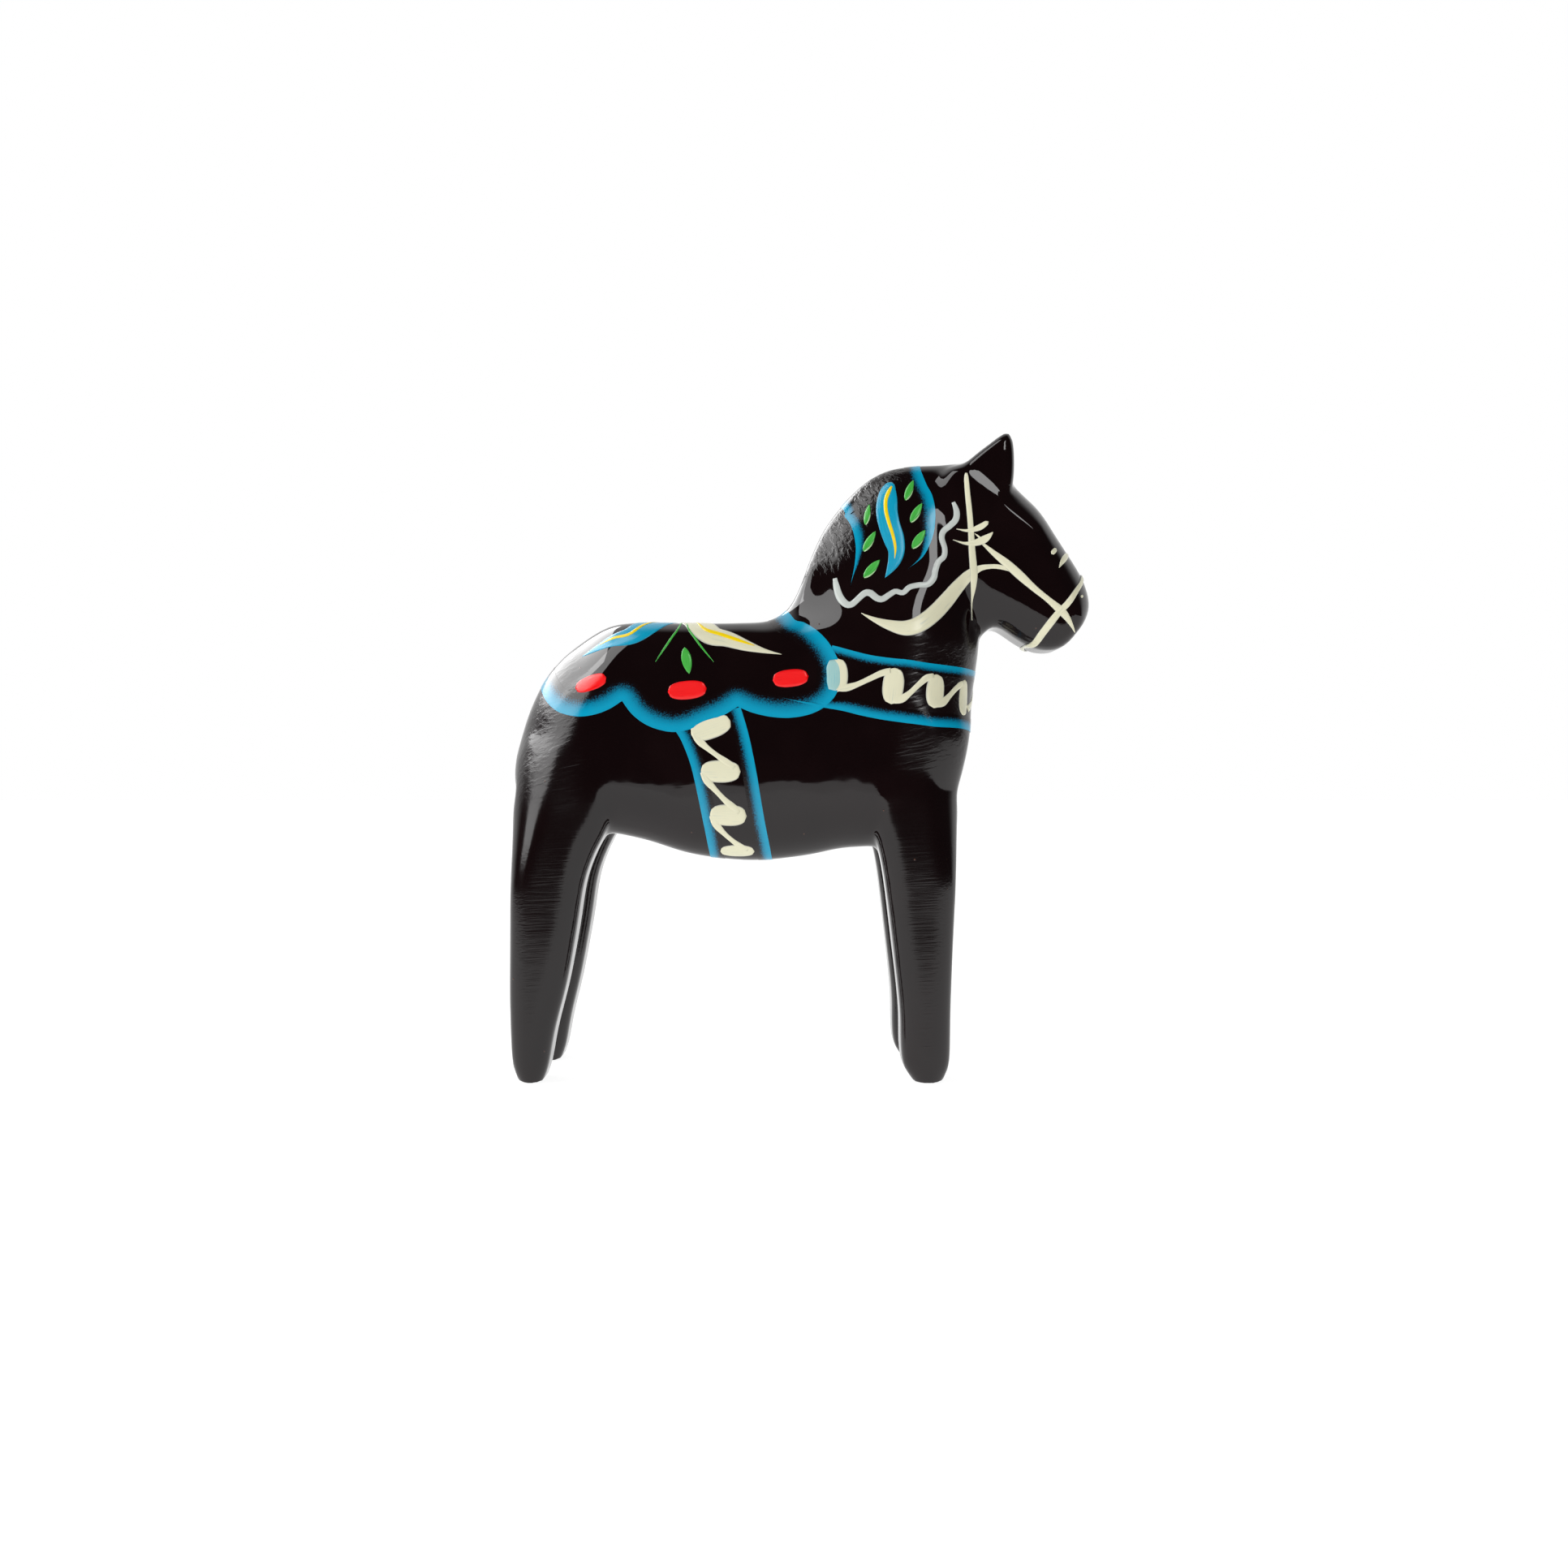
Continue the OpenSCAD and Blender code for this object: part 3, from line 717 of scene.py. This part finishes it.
film = {
    "brush": 0.07,  # how thick a brushed mark stands
    "spray": 0.03,  # and a sprayed band
    "mist": 0.02,  # what is left of the spray at its faded edge
    "sunk": 0.06,  # how far the underside is bedded in the coat
    "layer": 0.035,  # a mark that crosses another rides this much higher
    "spacing": 0.22,  # distance between stations along a mark
    "tip": 0.03,  # width left at the ends of a dab or leaf
}
bothSides = (-1, 1)  # the near side of the horse is -1
brushRows = np.array([-0.5, -0.47, -0.4, -0.22, 0, 0.22, 0.4, 0.47, 0.5])
sprayRows = np.array([0, 0.02, 0.12, 0.25, 0.4, 0.55, 0.7, 0.85, 1.0])


def laidPath(path, side):
    # given points are (along, height, width) seen from the side, or (along, across, height, width) where it wraps
    if all(len(p) == 3 for p in path):
        line = smoothLine(path, 10)
        points = seenFrom(side, line[:, :2])
        widths = line[:, 2]
    else:
        resolved = []
        for p in path:
            if len(p) == 3:
                resolved.append([*seenFrom(side, np.array([[p[0], p[1]]]))[0], p[2]])
            else:
                resolved.append([p[0], side * p[1], p[2], p[3]])
        line = smoothLine(resolved, 10)
        points, widths = line[:, :3], line[:, 3]
    points = landed(points)
    lengths = runLengths(points)
    count = max(int(lengths[-1] / film["spacing"]), 8)
    even = np.linspace(0, lengths[-1], count + 1)
    points = landed(np.column_stack([np.interp(even, lengths, points[:, i]) for i in range(3)]))
    return points, np.interp(even, lengths, widths), even


def sideways(points):
    # the direction across a mark, in the surface
    return unit(np.cross(outward(points), np.gradient(points, axis=0)))


def stripMesh(points, across, widths, lengths, rows, heights, uvAcross):
    # a closed ribbon: rows over the top, the same rows bedded underneath
    n, m = len(points), len(rows)
    flat = points[:, None, :] + across[:, None, :] * (rows[None, :, None] * widths[:, None, None])
    flat = landed(flat.reshape(-1, 3), rounds=4)
    up = outward(flat)
    top = flat + up * np.broadcast_to(heights, (n, m)).reshape(-1, 1)
    under = flat - up * film["sunk"]
    ring = np.concatenate([top.reshape(n, m, 3), under.reshape(n, m, 3)[:, ::-1]], axis=1).reshape(-1, 3)
    size = 2 * m
    i = np.arange(n - 1)[:, None] * size
    j = np.arange(size)[None, :]
    k = (j + 1) % size
    body = np.stack([i + j, i + size + j, i + size + k, i + k], axis=-1).reshape(-1, 4)
    j = np.arange(m - 1)
    start = np.column_stack([j, j + 1, size - 2 - j, size - 1 - j])
    end = start[:, ::-1] + (n - 1) * size
    value = uvAcross[None, :] * np.ones((n, 1)) if uvAcross is not None else rows[None, :] * widths[:, None]
    value = np.concatenate([value, value[:, ::-1]], axis=1)
    uv = np.column_stack([np.repeat(lengths, size), value.ravel()])
    lean = np.concatenate([up.reshape(n, m, 3), -up.reshape(n, m, 3)[:, ::-1]], axis=1).reshape(-1, 3)
    rim = np.abs(rows * 2) if rows.min() < 0 else rows * 0
    rim = np.broadcast_to(np.concatenate([rim, rim[::-1]]), (n, size)).ravel()
    return ring, np.vstack([body, start, end]), uv, lean, rim


def brushMark(path, side, layer=0):
    points, widths, lengths = laidPath(path, side)
    crown = film["brush"] * (1 - np.abs(2 * brushRows) ** 6)
    taper = np.clip(widths / 0.5, 0.15, 1)[:, None]  # thin tips carry less paint
    heights = layer * film["layer"] + crown[None, :] * taper
    return stripMesh(points, sideways(points), np.maximum(widths, 0.04), lengths, brushRows, heights, None)


def straightPath(a, b, stations, widthAt):
    a, b = np.array(a, float), np.array(b, float)
    return [(*(a + (b - a) * t), widthAt(t) + film["tip"]) for t in stations]


def dabPath(a, b, width):
    # a rounded dab from end a to end b
    return straightPath(a, b, (0, 0.02, 0.06, 0.14, 0.3, 0.5, 0.7, 0.86, 0.94, 0.98, 1),
                        lambda t: width * (1 - abs(2 * t - 1) ** 2.4) ** (1 / 2.4))


def leafPath(a, b, width):
    # pointed at both ends, and fullest a little nearer to a
    return straightPath(a, b, (0, 0.06, 0.15, 0.3, 0.45, 0.6, 0.75, 0.88, 0.95, 1),
                        lambda t: width * math.sin(math.pi * t ** 0.9) ** 0.75)


def fadedEnds(width, share):
    # a band's width, drawn down to nothing at both ends
    return lambda t: width * ramp(1 - np.abs(2 * t - 1), 0, share)


def sprayMark(lobes, width, reach, layer=0.0):
    # lobes lie on one side and end at the middle, and the same band is carried back over the other side
    halves = []
    for side in bothSides:
        centres, acrosses = [], []
        for lobe in lobes:
            points = laidPath([(*p, 0.0) for p in lobe], side)[0]
            across = sideways(points) * reach * -side
            if centres and np.dot(acrosses[-1][-1], across[0]) < 0.98:  # a cusp: the spray fans round it
                turns = np.linspace(0, 1, 8)[1:-1, None]
                fan = unit(acrosses[-1][-1] * (1 - turns) + across[0] * turns)
                centres.append(np.repeat(points[:1], len(fan), axis=0))
                acrosses.append(fan)
            centres.append(points)
            acrosses.append(across)
        halves.append((np.vstack(centres), np.vstack(acrosses)))
    (near, nearAcross), (far, farAcross) = halves
    points = np.vstack([near, far[::-1][1:]])
    across = np.vstack([nearAcross, farAcross[::-1][1:]])
    middle = len(near) - 1
    across[middle] = across[middle] * [1, 0, 1]
    across[middle] /= np.linalg.norm(across[middle])

    lengths = runLengths(points)
    wide = width(lengths / lengths[-1]) if callable(width) else np.full(len(points), float(width))
    heights = film["spray"] * (1 - sprayRows) + film["mist"] + layer
    heights[0] = film["mist"]
    # the strip's own turn has to match the way it reaches, or its faces point inwards
    turn = np.sign(np.einsum("ij,ij->i", np.cross(outward(points), np.gradient(points, axis=0)), across).mean())
    ring, faces, uv, lean, rim = stripMesh(points, across, wide, lengths, sprayRows, heights, sprayRows)
    return ring, faces if turn > 0 else faces[:, ::-1], uv, lean, rim


def assemble(name, parts, materials, node, partMaterials=None, levelled=False):
    # levelled paint reflects as the coat under it does; brushed paint keeps the relief of its own edge
    points, faces, uvs, leans, rims = zip(*parts)
    starts = np.cumsum([0] + [len(p) for p in points[:-1]])
    which = [np.full(len(f), m) for f, m in zip(faces, partMaterials or [0] * len(parts))]
    piece = makeObject(name, np.vstack(points), np.vstack([f + start for f, start in zip(faces, starts)]),
                       materials, np.concatenate(which), np.vstack(uvs), np.vstack(leans) if levelled else None,
                       np.concatenate(rims))
    handOver(piece, node)


def brushPiece(name, paths, material, node, layer=0):
    assemble(name, [brushMark(path, side, layer) for path in paths for side in bothSides], [material], node)


# saddle cloth: a scalloped sprayed edge, crisp outside and fading inwards
saddle = {
    "borderWidth": 2.5,
    "border": [
        [(-1.95, 0, 50.35), (-1.7, 3.5, 50.2), (-1.1, 6.3, 49.6), (0.0, 48.9), (1.2, 48.1), (2.3, 47), (3.1, 45.8),
         (3.7, 44.4), (3.85, 43), (3.6, 41.6), (3, 40.5), (2, 39.6), (0.5, 38.9), (-1.5, 38.55), (-3.5, 38.65),
         (-5.5, 39.1), (-7.05, 39.75)],
        [(-7.05, 39.75), (-8.3, 38.95), (-10, 38.2), (-12, 37.35), (-13.5, 37.05), (-15, 37.2), (-16.7, 37.8),
         (-18.2, 38.9), (-19.3, 40.35)],
        [(-19.3, 40.35), (-20.6, 39.5), (-22.2, 38.9), (-24, 38.7), (-25.9, 39.1), (-27.0, 39.75), (-27.75, 40.5),
         (-28.2, 5.1, 41.25), (-28.5, 3.7, 41.9), (-28.6, 2.0, 42.35), (-28.65, 0, 42.5)],
    ],
    "rearPetal": [(-23.9, 45.25, 0.05), (-22.5, 46.0, 0.85), (-20.6, 46.9, 1.75), (-18.4, 7.6, 47.8, 2.8),
                  (-16.2, 5.4, 48.7, 3.4), (-14.3, 3.4, 49, 2.6), (-13, 1.7, 49, 0.6)],
    "rearVein": [(-21.9, 46.45, 0.1), (-20.4, 47.15, 0.34), (-18.8, 7.8, 47.9, 0.42), (-17.2, 6.2, 48.5, 0.36),
                 (-15.6, 4.6, 48.9, 0.1)],
    "frontPetal": [(-2.4, 45.35, 0.05), (-4.2, 45.7, 0.55), (-6.2, 46.3, 1.35), (-8.2, 47.05, 2.1),
                   (-10, 7.7, 47.8, 2.8), (-11.6, 5.2, 48.6, 3.1), (-12.6, 3, 49, 2.2), (-13, 1.5, 49, 0.5)],
    "frontVein": [(-5.3, 46.25, 0.1), (-7, 46.85, 0.4), (-9, 47.55, 0.5), (-10.7, 6.9, 48.2, 0.45),
                  (-11.8, 4.6, 48.8, 0.1)],
    "stems": [
        [(-13.1, 4.2, 49, 0.1), (-13.5, 7.0, 48.3, 0.2), (-14.3, 46.9, 0.24), (-15.1, 45.6, 0.18),
         (-15.8, 44.5, 0.03)],
        [(-12.8, 4.2, 49, 0.1), (-12.4, 7.0, 48.3, 0.2), (-11.5, 46.9, 0.24), (-10.6, 45.7, 0.18),
         (-9.6, 44.5, 0.03)],
    ],
    "leaf": ((-12.75, 46.1), (-12.2, 43.25), 1.05),
    "dabs": [((-24.4, 41.75), (-21.0, 42.85), 1.75), ((-14.45, 41.3), (-10.35, 41.7), 1.95),
             ((-3.35, 42.55), (0.45, 43.0), 1.85)],
}
assemble("saddleBorder", [sprayMark(saddle["border"], saddle["borderWidth"], -1, 0.006)],
         [blueSpray], "saddle_border", levelled=True)
brushPiece("saddleRearPetals", [saddle["rearPetal"]], blue, "saddle_rear_petals")
brushPiece("saddleFrontPetals", [saddle["frontPetal"]], cream, "saddle_front_petals")
brushPiece("petalVeins", [saddle["rearVein"], saddle["frontVein"]], yellow, "petal_veins", 2)
brushPiece("saddleStems", saddle["stems"], green, "saddle_stems", 1)
brushPiece("saddleLeaves", [leafPath(*saddle["leaf"])], green, "saddle_leaves")
brushPiece("saddleRedDabs", [dabPath(*d) for d in saddle["dabs"]], red, "saddle_red_dabs")
print("saddle")

# girth: two sprayed bands down and under the belly, with a running scroll between them
girth = {
    "bandWidth": 1.5,
    "rearBand": [(-13.6, 37.1), (-12.95, 36.0), (-12, 33.5), (-11.2, 30), (-10.6, 27), (-10.2, 24.6),
                 (-10, 5.2, 23.7), (-9.9, 2.6, 23.5), (-9.9, 0, 23.5)],
    "frontBand": [(-6.75, 39.7), (-5.9, 36.8), (-5.1, 33), (-4.4, 28.8), (-3.8, 25.6), (-3.55, 24.2),
                  (-3.4, 5.2, 23.5), (-3.3, 2.6, 23.4), (-3.3, 0, 23.4)],
    "dabs": [((-12.0, 36.75), (-7.8, 38.25), 2.3), ((-11.0, 32.9), (-6.75, 32.85), 2.35),
             ((-10.05, 28.3), (-6.1, 28.15), 2.3), ((-9.0, 24.35), (-5.3, 24.35), 1.9)],
    "links": [
        [(-11.75, 36.9, 0.5), (-11.1, 36.1, 0.85), (-10.2, 35.3, 0.6), (-9.2, 34.55, 0.55), (-8.2, 33.8, 0.8),
         (-7.4, 33.2, 0.8)],
        [(-10.8, 32.8, 0.5), (-10.3, 31.9, 0.85), (-9.4, 30.9, 0.6), (-8.5, 29.95, 0.6), (-7.6, 29.1, 0.85),
         (-6.9, 28.5, 0.8)],
        [(-9.85, 28.2, 0.5), (-9.35, 27.25, 0.85), (-8.5, 26.3, 0.6), (-7.6, 25.5, 0.6), (-6.8, 24.9, 0.8),
         (-6.0, 24.5, 0.7)],
    ],
}
assemble("girthBands",
         [sprayMark([girth["rearBand"]], girth["bandWidth"], 1),
          sprayMark([girth["frontBand"]], girth["bandWidth"], -1)],
         [blueSpray], "girth_bands", levelled=True)
brushPiece("girthScroll", [dabPath(*d) for d in girth["dabs"]] + girth["links"], cream, "girth_scroll")

# collar: two sprayed bands round the chest, with a scroll between them
collar = {
    "upperWidth": 1.15, "lowerWidth": 1.5,
    "upper": [(3.0, 46.3), (5, 45.75), (7, 45.25), (9, 44.95), (11, 44.75), (13, 44.45), (15, 44.25),
              (16.8, 6.6, 44.1), (18.2, 3.8, 43.9), (18.8, 0, 43.8)],
    "lower": [(-2.4, 40.7), (0, 40.1), (2, 39.65), (4, 39.3), (6, 38.8), (8, 38.4), (10, 38.1), (12, 37.85),
              (14, 37.6), (16.2, 6.8, 37.3), (17.6, 3.8, 37.1), (18, 0, 37)],
    "dabs": [((3.5, 41.3), (3.45, 44.9), 2.3), ((9.2, 40.0), (9.65, 43.9), 2.25),
             ((13.75, 39.6), (14.15, 43.25), 2.1), ((17.0, 38.9), (17.35, 42.8), 1.5)],
    "links": [
        [(3.6, 41.6, 0.5), (4.5, 41.75, 0.8), (5.6, 42.1, 0.6), (6.8, 42.65, 0.6), (8.2, 43.3, 0.7),
         (9.2, 43.5, 0.8)],
        [(9.4, 40.3, 0.5), (10.3, 40.55, 0.85), (11.2, 41.2, 0.6), (12.1, 42.05, 0.6), (13, 42.8, 0.75),
         (13.8, 43, 0.7)],
        [(13.9, 39.9, 0.5), (14.7, 40.2, 0.85), (15.5, 40.95, 0.6), (16.2, 41.7, 0.6), (16.8, 42.2, 0.7),
         (17.2, 42.4, 0.6)],
    ],
    "mistedPart": [(2.95, 41.5, 0.8), (3.1, 42.2, 1.45), (3.12, 43, 1.5), (3.05, 44, 1.4), (2.95, 44.7, 0.6)],
    "chestDab": [(18.2, 0, 38.7, 0.1), (18.4, 0, 39.1, 1.6), (18.5, 0, 40.2, 2.4), (18.6, 0, 41.6, 2.4),
                 (18.7, 0, 42.5, 1.6), (18.75, 0, 42.9, 0.1)],
    "chestLink": [(17.4, 5.9, 39.6, 0.8), (18, 4.4, 40.3, 0.6), (18.4, 2.8, 41.4, 0.6), (18.6, 1.2, 42.3, 0.8)],
}
assemble("collarBands",
         [sprayMark([collar["upper"]], collar["upperWidth"], -1),
          sprayMark([collar["lower"]], fadedEnds(collar["lowerWidth"], 0.3), 1, 0.012)],
         [blueSpray], "collar_bands", levelled=True)
collarMarks = [brushMark(p, side) for p in [dabPath(*d) for d in collar["dabs"]] + collar["links"]
               + [collar["chestLink"]] for side in bothSides]
misted = [brushMark(collar["mistedPart"], side, 1) for side in bothSides]
assemble("collarScroll", collarMarks + [brushMark(collar["chestDab"], -1)] + misted, [cream, creamUnderSpray],
         "collar_scroll", [0] * (len(collarMarks) + 1) + [1, 1])
print("girth and collar")

# mane: a plume between two sprayed arcs, with leaves either side and a wavy edge
mane = {
    "rearBand": [(3.9, 0, 62.2), (3.95, 2.6, 62.1), (4.1, 4.4, 61.6), (4.45, 60.8), (5, 59.9), (5.4, 58.7),
                 (5.6, 57.2), (5.55, 56), (5.4, 54.8), (5, 52.8)],
    "rearWidth": 1.5,
    "frontBand": [(12.8, 0, 66.6), (12.8, 2.6, 66.5), (12.95, 65.5), (13.4, 64.1), (13.9, 63), (14.2, 61.5),
                  (14.2, 60), (14, 58.6), (13.5, 57.2), (12.7, 55.9), (11.2, 54.7)],
    "frontWidth": 1.7,
    "plume": [(9.6, 64.5, 0.1), (9.5, 64.3, 0.9), (9.2, 63.5, 1.75), (9.05, 62.3, 2.25), (9.0, 61, 2.35),
              (9.25, 59.5, 2.3), (9.7, 58, 2.25), (9.95, 56.7, 1.8), (9.7, 55.5, 1.35), (9.2, 54.5, 0.7),
              (8.7, 53.7, 0.03)],
    "vein": [(9.6, 63.95, 0.2), (9.25, 63.3, 0.45), (8.92, 62.3, 0.42), (8.92, 61.1, 0.42), (9.2, 59.8, 0.4),
             (9.6, 58.4, 0.36), (9.85, 57, 0.28), (9.75, 55.8, 0.03)],
    "leaves": [((6.65, 59.65), (7.15, 61.95), 0.68), ((6.4, 56.65), (7.75, 58.85), 0.85),
               ((6.4, 53.75), (8.15, 55.65), 0.92), ((11.0, 62.35), (11.95, 64.65), 0.8),
               ((11.5, 59.85), (12.8, 61.95), 0.85), ((11.65, 56.95), (13.1, 58.95), 0.92)],
    # a painted highlight: a pale stroke along one edge of each leaf stands for light caught on the raised paint; all
    # but the shortening (in mm) are shares of the leaf's width
    "highlightShift": 0.13, "highlightShort": 0.3, "highlightWidth": 0.86, "greenWidth": 0.92,
    "edgeLine": [(3.35, 53.75, 0.5), (3.5, 52.8, 0.75), (3.85, 51.65, 0.85), (4.5, 50.85, 0.8), (5.1, 50.8, 0.75),
                 (5.8, 51.4, 0.7), (6.5, 52, 0.75), (7.1, 52.0, 0.78), (7.8, 51.45, 0.75), (8.4, 51.35, 0.7),
                 (9.1, 51.8, 0.65), (9.8, 52.2, 0.62), (10.6, 52.05, 0.6), (11.3, 52.65, 0.62), (12.3, 52.9, 0.62),
                 (13.3, 53, 0.65), (13.95, 53.7, 0.68), (14.15, 54.6, 0.66), (14.5, 55.5, 0.64), (15.1, 56.1, 0.62),
                 (15.2, 57, 0.64), (14.9, 58.1, 0.66), (15.1, 58.9, 0.66), (15.8, 59.5, 0.68), (16.45, 60.2, 0.7),
                 (16.55, 61.1, 0.68), (16.2, 62.1, 0.4)],
}
assemble("maneBands",
         [sprayMark([mane["rearBand"][::-1]], fadedEnds(mane["rearWidth"], 0.5), -1),
          sprayMark([mane["frontBand"][::-1]], fadedEnds(mane["frontWidth"], 0.4), 1)],
         [blueSpray], "mane_bands", levelled=True)
brushPiece("manePlumes", [mane["plume"]], blue, "mane_plumes", 1)
brushPiece("plumeVeins", [mane["vein"]], yellow, "plume_veins", 3)
leafMarks, leafPaint = [], []
for a, b, width in mane["leaves"]:
    a, b = np.array(a), np.array(b)
    way = (b - a) / np.linalg.norm(b - a)
    shift = np.array([way[1], -way[0]]) * width * mane["highlightShift"]
    # the painted highlight: a pale copy of the leaf, shifted towards one edge, stands for light caught on the raised
    # paint
    highlightStroke = leafPath(a + shift, b + shift * 0.6 - way * mane["highlightShort"], width * mane["highlightWidth"])
    for side in bothSides:
        leafMarks += [brushMark(highlightStroke, side, 1), brushMark(leafPath(a, b, width * mane["greenWidth"]), side, 2)]
        leafPaint += [1, 0]
assemble("maneLeaves", leafMarks, [green, leafHighlight], "mane_leaves", leafPaint)
brushPiece("maneEdgeLines", [mane["edgeLine"]], grey, "mane_edge_lines")

# bridle: thin cream strokes on the cheek, jaw and nose
bridle = {
    "cheek": [(17.6, 65.25, 0.25), (17.62, 64.6, 0.5), (17.75, 63, 0.58), (17.95, 61, 0.62), (18.1, 59, 0.65),
              (18.2, 57, 0.75), (18.35, 55, 0.85), (18.4, 54, 0.85), (18.35, 52.8, 0.6), (18.2, 51.3, 0.2),
              (18.2, 49.3, 0.04)],
    "rein": [(6.1, 49.8, 0.05), (7.3, 49.15, 0.5), (9, 48.5, 1.15), (10.8, 48.15, 1.7), (12.3, 48.6, 1.8),
             (13.8, 49.7, 1.75), (15.2, 51.15, 1.7), (16.5, 52.7, 1.55), (17.8, 54.1, 1.2), (19, 54.9, 0.7),
             (20.2, 55.15, 0.5), (21.3, 55.1, 0.5), (22.4, 54.75, 0.3)],
    "nose": [(19.3, 57.7, 0.25), (20.6, 56.6, 0.6), (22.1, 55.4, 0.9), (23.5, 54.15, 0.95), (25, 52.8, 0.72),
             (26.5, 51.6, 0.65), (27.9, 50.4, 0.9), (28.6, 49.6, 0.7), (29.5, 48.1, 0.1)],
    "band": [(31.5, 0, 54.9, 0.5), (31.2, 1.6, 54.6, 0.5), (30.2, 53.3, 0.5), (29.4, 52.2, 0.6), (28.6, 51.1, 0.68),
             (27.8, 50.3, 0.7), (26.9, 49.2, 0.8), (26, 48, 0.8), (25.2, 46.9, 0.75), (24.4, 2.2, 46.2, 0.6),
             (24.2, 0, 46.2, 0.3)],
    "brow": [
        [(16.5, 59.15, 0.03), (17.8, 59, 0.35), (19, 59.35, 0.66), (19.8, 59.85, 0.5), (20, 60, 0.1)],
        [(16.1, 57.95, 0.03), (17.4, 57.6, 0.3), (18.6, 57.7, 0.7), (19.7, 58.15, 0.8), (20.5, 58.85, 0.1)],
        [(18.5, 58.7, 0.03), (18.9, 58.4, 0.2), (19.3, 58.0, 0.2)],
    ],
    "face": [
        dabPath((26.9, 56.55), (27.55, 57.2), 0.5),
        [(27.75, 55.05, 0.03), (28.05, 55.6, 0.45), (28.5, 56.2, 0.7), (29.0, 56.75, 0.5), (29.3, 57.0, 0.05)],
        dabPath((30.25, 51.95), (30.55, 52.15), 0.28),
    ],
}
brushPiece("cheekStraps", [bridle["cheek"]], cream, "cheek_straps", 3)
brushPiece("reins", [bridle["rein"]], cream, "reins", 1)
brushPiece("noseStraps", [bridle["nose"]], cream, "nose_straps", 2)
brushPiece("noseband", [bridle["band"]], cream, "noseband", 3)
brushPiece("browDabs", bridle["brow"], cream, "brow_dabs", 4)
brushPiece("faceDabs", bridle["face"], cream, "face_dabs")
print("mane and bridle")


# ---- floor, light and camera

studio = {
    "floorSize": 6.0,
    "floorColour": "#7c7c7b",
    "floorGlow": 0.92,  # so that the far floor is as white as the room behind it
    "roomTurn": (-0.05, 0.35),  # where the room turns from dim to bright, going back past the horse
    "roomLight": (0.035, 1.15),
    "camera": (-2.15, -190.0, 31.55),  # mm on the drawing, level with the belly
    "lens": 39.2,
}


def buildStage():
    half = studio["floorSize"] / 2
    mesh = bpy.data.meshes.new("paleFloor")
    mesh.from_pydata([(-half, -half, 0), (half, -half, 0), (half, half, 0), (-half, half, 0)], [], [(0, 1, 2, 3)])
    floor = bpy.data.objects.new("paleFloor", mesh)
    floor.location.z = coatLow.z
    bpy.context.collection.objects.link(floor)
    material, tree, shader = newMaterial("palePaperSweep")
    feed(tree, shader, {
        "Base Color": linear(studio["floorColour"]), "Roughness": 0.9, "Specular IOR Level": 0.1,
        "Emission Color": (1, 1, 1, 1), "Emission Strength": studio["floorGlow"]})
    floor.data.materials.append(material)


def softbox(name, box):
    light = bpy.data.lights.new(name, "AREA")
    light.shape = "RECTANGLE"
    light.size, light.size_y = box["size"]
    light.energy = box["radiance"] * math.pi * box["size"][0] * box["size"][1]
    lamp = bpy.data.objects.new(name, light)
    turn, lift = math.radians(box["turn"]), math.radians(box["lift"])
    way = Vector((math.sin(turn) * math.cos(lift), -math.cos(turn) * math.cos(lift), math.sin(lift)))
    lamp.location = (cadBox[0] + cadBox[1]) / 2 + way * box["away"]
    lamp.rotation_euler = (-way).to_track_quat("-Z", "Y").to_euler()
    lamp.visible_glossy = box.get("inReflections", True)
    lamp.visible_diffuse = box.get("onPaint", True)
    bpy.context.collection.objects.link(lamp)


# turn is degrees round to the right from the camera's side, lift is degrees above level;
# a box that isn't on the paint only draws a highlight, and one that isn't in reflections only lights the colours
softboxes = {
    "tallLeftSoftbox": {"turn": -62, "lift": 40, "away": 0.8, "size": (0.34, 0.95), "radiance": 3.6},
    "crestSoftbox": {"turn": -112, "lift": 38, "away": 0.8, "size": (1.1, 0.42), "radiance": 6.5, "onPaint": False},
    "rightSoftbox": {"turn": 22, "lift": 34, "away": 0.8, "size": (0.13, 0.32), "radiance": 6.0, "onPaint": False},
    "frontFill": {"turn": -12, "lift": 22, "away": 0.9, "size": (0.6, 0.6), "radiance": 1.8, "inReflections": False},
}


def buildLight():
    for name, box in softboxes.items():
        softbox(name, box)
    world = bpy.data.worlds.new("paleStudio")
    bpy.context.scene.world = world
    world.use_nodes = True
    tree = world.node_tree
    tree.nodes.clear()
    way = addNode(tree, "TexCoord").outputs["Generated"]
    # white behind the horse and dim on the camera's side, as in a small product studio
    room = easing(tree, apart(tree, way)[1], *studio["roomTurn"], *studio["roomLight"])
    lit = addNode(tree, "Background", None, {"Color": (1, 1, 1, 1), "Strength": room})
    seen = addNode(tree, "Background", None, {"Color": (1, 1, 1, 1), "Strength": 1.0})
    path = addNode(tree, "LightPath")
    mix = addNode(tree, "MixShader", None, {
        0: path.outputs["Is Camera Ray"], 1: lit.outputs[0], 2: seen.outputs[0]})
    addNode(tree, "OutputWorld", None, {"Surface": mix.outputs[0]})


def buildCamera():
    data = bpy.data.cameras.new("camera")
    data.lens = studio["lens"]
    data.sensor_width = 36
    data.clip_start = 0.01
    camera = bpy.data.objects.new("camera", data)
    camera.location = toFrame(np.array(studio["camera"]))
    camera.rotation_euler = (math.pi / 2, 0, 0)
    bpy.context.collection.objects.link(camera)
    bpy.context.scene.camera = camera


buildStage()
buildLight()
buildCamera()
bpy.context.scene.view_settings.view_transform = "Standard"
print("stage")
